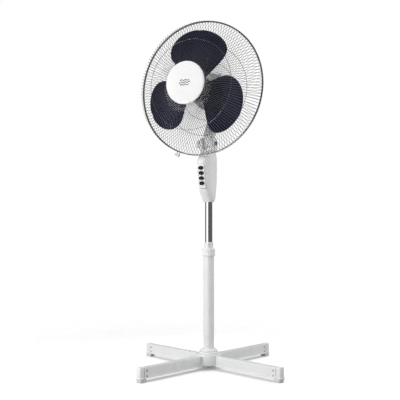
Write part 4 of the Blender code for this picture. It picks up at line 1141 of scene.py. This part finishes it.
def soft_light(name, place, aim, size, power, tall=None, mirrored=False):
    """An area light for matt surfaces, or a mirrored one that only shows in glossy surfaces."""
    data = bpy.data.lights.new(name, "AREA")
    data.energy = power
    data.size = size
    if tall:
        data.shape = "RECTANGLE"
        data.size_y = tall
    light = linked(name, data)
    light.location = place
    light.rotation_euler = (Vector(aim) - Vector(place)).to_track_quat("-Z", "Y").to_euler()
    light.visible_glossy = mirrored
    light.visible_diffuse = not mirrored


def floor_material():
    """White to the camera, with the object's soft shadow, and a weak source of light to the object itself."""
    material = bpy.data.materials.new("floor")
    material.use_nodes = True
    tree = material.node_tree
    shader = tree.nodes["Principled BSDF"]
    seen = tree.nodes.new("ShaderNodeLightPath").outputs["Is Camera Ray"]
    tree.links.new(mix(tree, seen, (0.30, 0.30, 0.30), (0.92, 0.92, 0.92)), shader.inputs["Base Color"])
    set_inputs(shader, Roughness=0.9, Specular_IOR_Level=0.1, Emission_Color=(1, 1, 1, 1))
    tree.links.new(spread(tree, seen, 0, 0.20, 0, 1), shader.inputs["Emission Strength"])

    # It fades out with the distance from the object, so that no edge shows.
    clear = tree.nodes.new("ShaderNodeBsdfTransparent")
    blend = tree.nodes.new("ShaderNodeMixShader")
    where = tree.nodes.new("ShaderNodeTexCoord")
    distance = tree.nodes.new("ShaderNodeVectorMath")
    distance.operation = "LENGTH"
    tree.links.new(where.outputs["Object"], distance.inputs[0])
    tree.links.new(spread(tree, distance.outputs["Value"], 0, 1, 0.55, 1.3), blend.inputs["Fac"])
    tree.links.new(shader.outputs["BSDF"], blend.inputs[1])
    tree.links.new(clear.outputs["BSDF"], blend.inputs[2])
    tree.links.new(blend.outputs["Shader"], tree.nodes["Material Output"].inputs["Surface"])
    return material


def floor():
    mesh = mesh_of(plain_rod(FLOOR_RADIUS, -0.02, 0), "floor")
    mesh.materials.append(floor_material())
    linked("floor", mesh)


def backdrop():
    """White to the camera, a soft fill on matt surfaces, and dim in glossy ones, to keep their contrast."""
    world = bpy.data.worlds.new("studio")
    world.use_nodes = True
    tree = world.node_tree
    back = tree.nodes["Background"]
    set_inputs(back, Color=(1, 1, 1, 1))
    path = tree.nodes.new("ShaderNodeLightPath")
    seen = spread(tree, path.outputs["Is Camera Ray"], FILL, 1.0, 0, 1)
    mirrored = spread(tree, path.outputs["Is Glossy Ray"], 1.0, GLOSSY_SHARE, 0, 1)
    strength = tree.nodes.new("ShaderNodeMath")
    strength.operation = "MULTIPLY"
    tree.links.new(seen, strength.inputs[0])
    tree.links.new(mirrored, strength.inputs[1])
    tree.links.new(strength.outputs["Value"], back.inputs["Strength"])
    bpy.context.scene.world = world
    bpy.context.scene.view_settings.view_transform = "Standard"


def lights():
    soft_light("overhead", (0, 0, 3.0), (0, 0, 0), size=2.4, power=24)
    soft_light("key", from_camera(-1.60, 1.20, 0.85), (0, 0, 0.6), size=2.0, power=34, tall=1.7)
    soft_light("gleam", from_camera(-1.38, 1.26, 0.53), (0, 0, 0.5), size=1.38, power=5.5, tall=0.36,
               mirrored=True)
    soft_light("rim", from_camera(1.9, -0.3, 1.1), (0, 0, 0.6), size=0.5, power=17, tall=1.6)


base()
hub()
column_tubes()
height_sleeve()
height_nut()
housing_shell("control_housing_front", True)
housing_shell("control_housing_rear", False)
button_panel()
housing_trim()
neck()
tilt_joint()
motor_cover()
clutch()
plain_parts()
coils()
front_grille()
rear_grille()
grille_nut()
hoop()
badge()
fan_blade()
blade_nut()
camera()
floor()
backdrop()
lights()
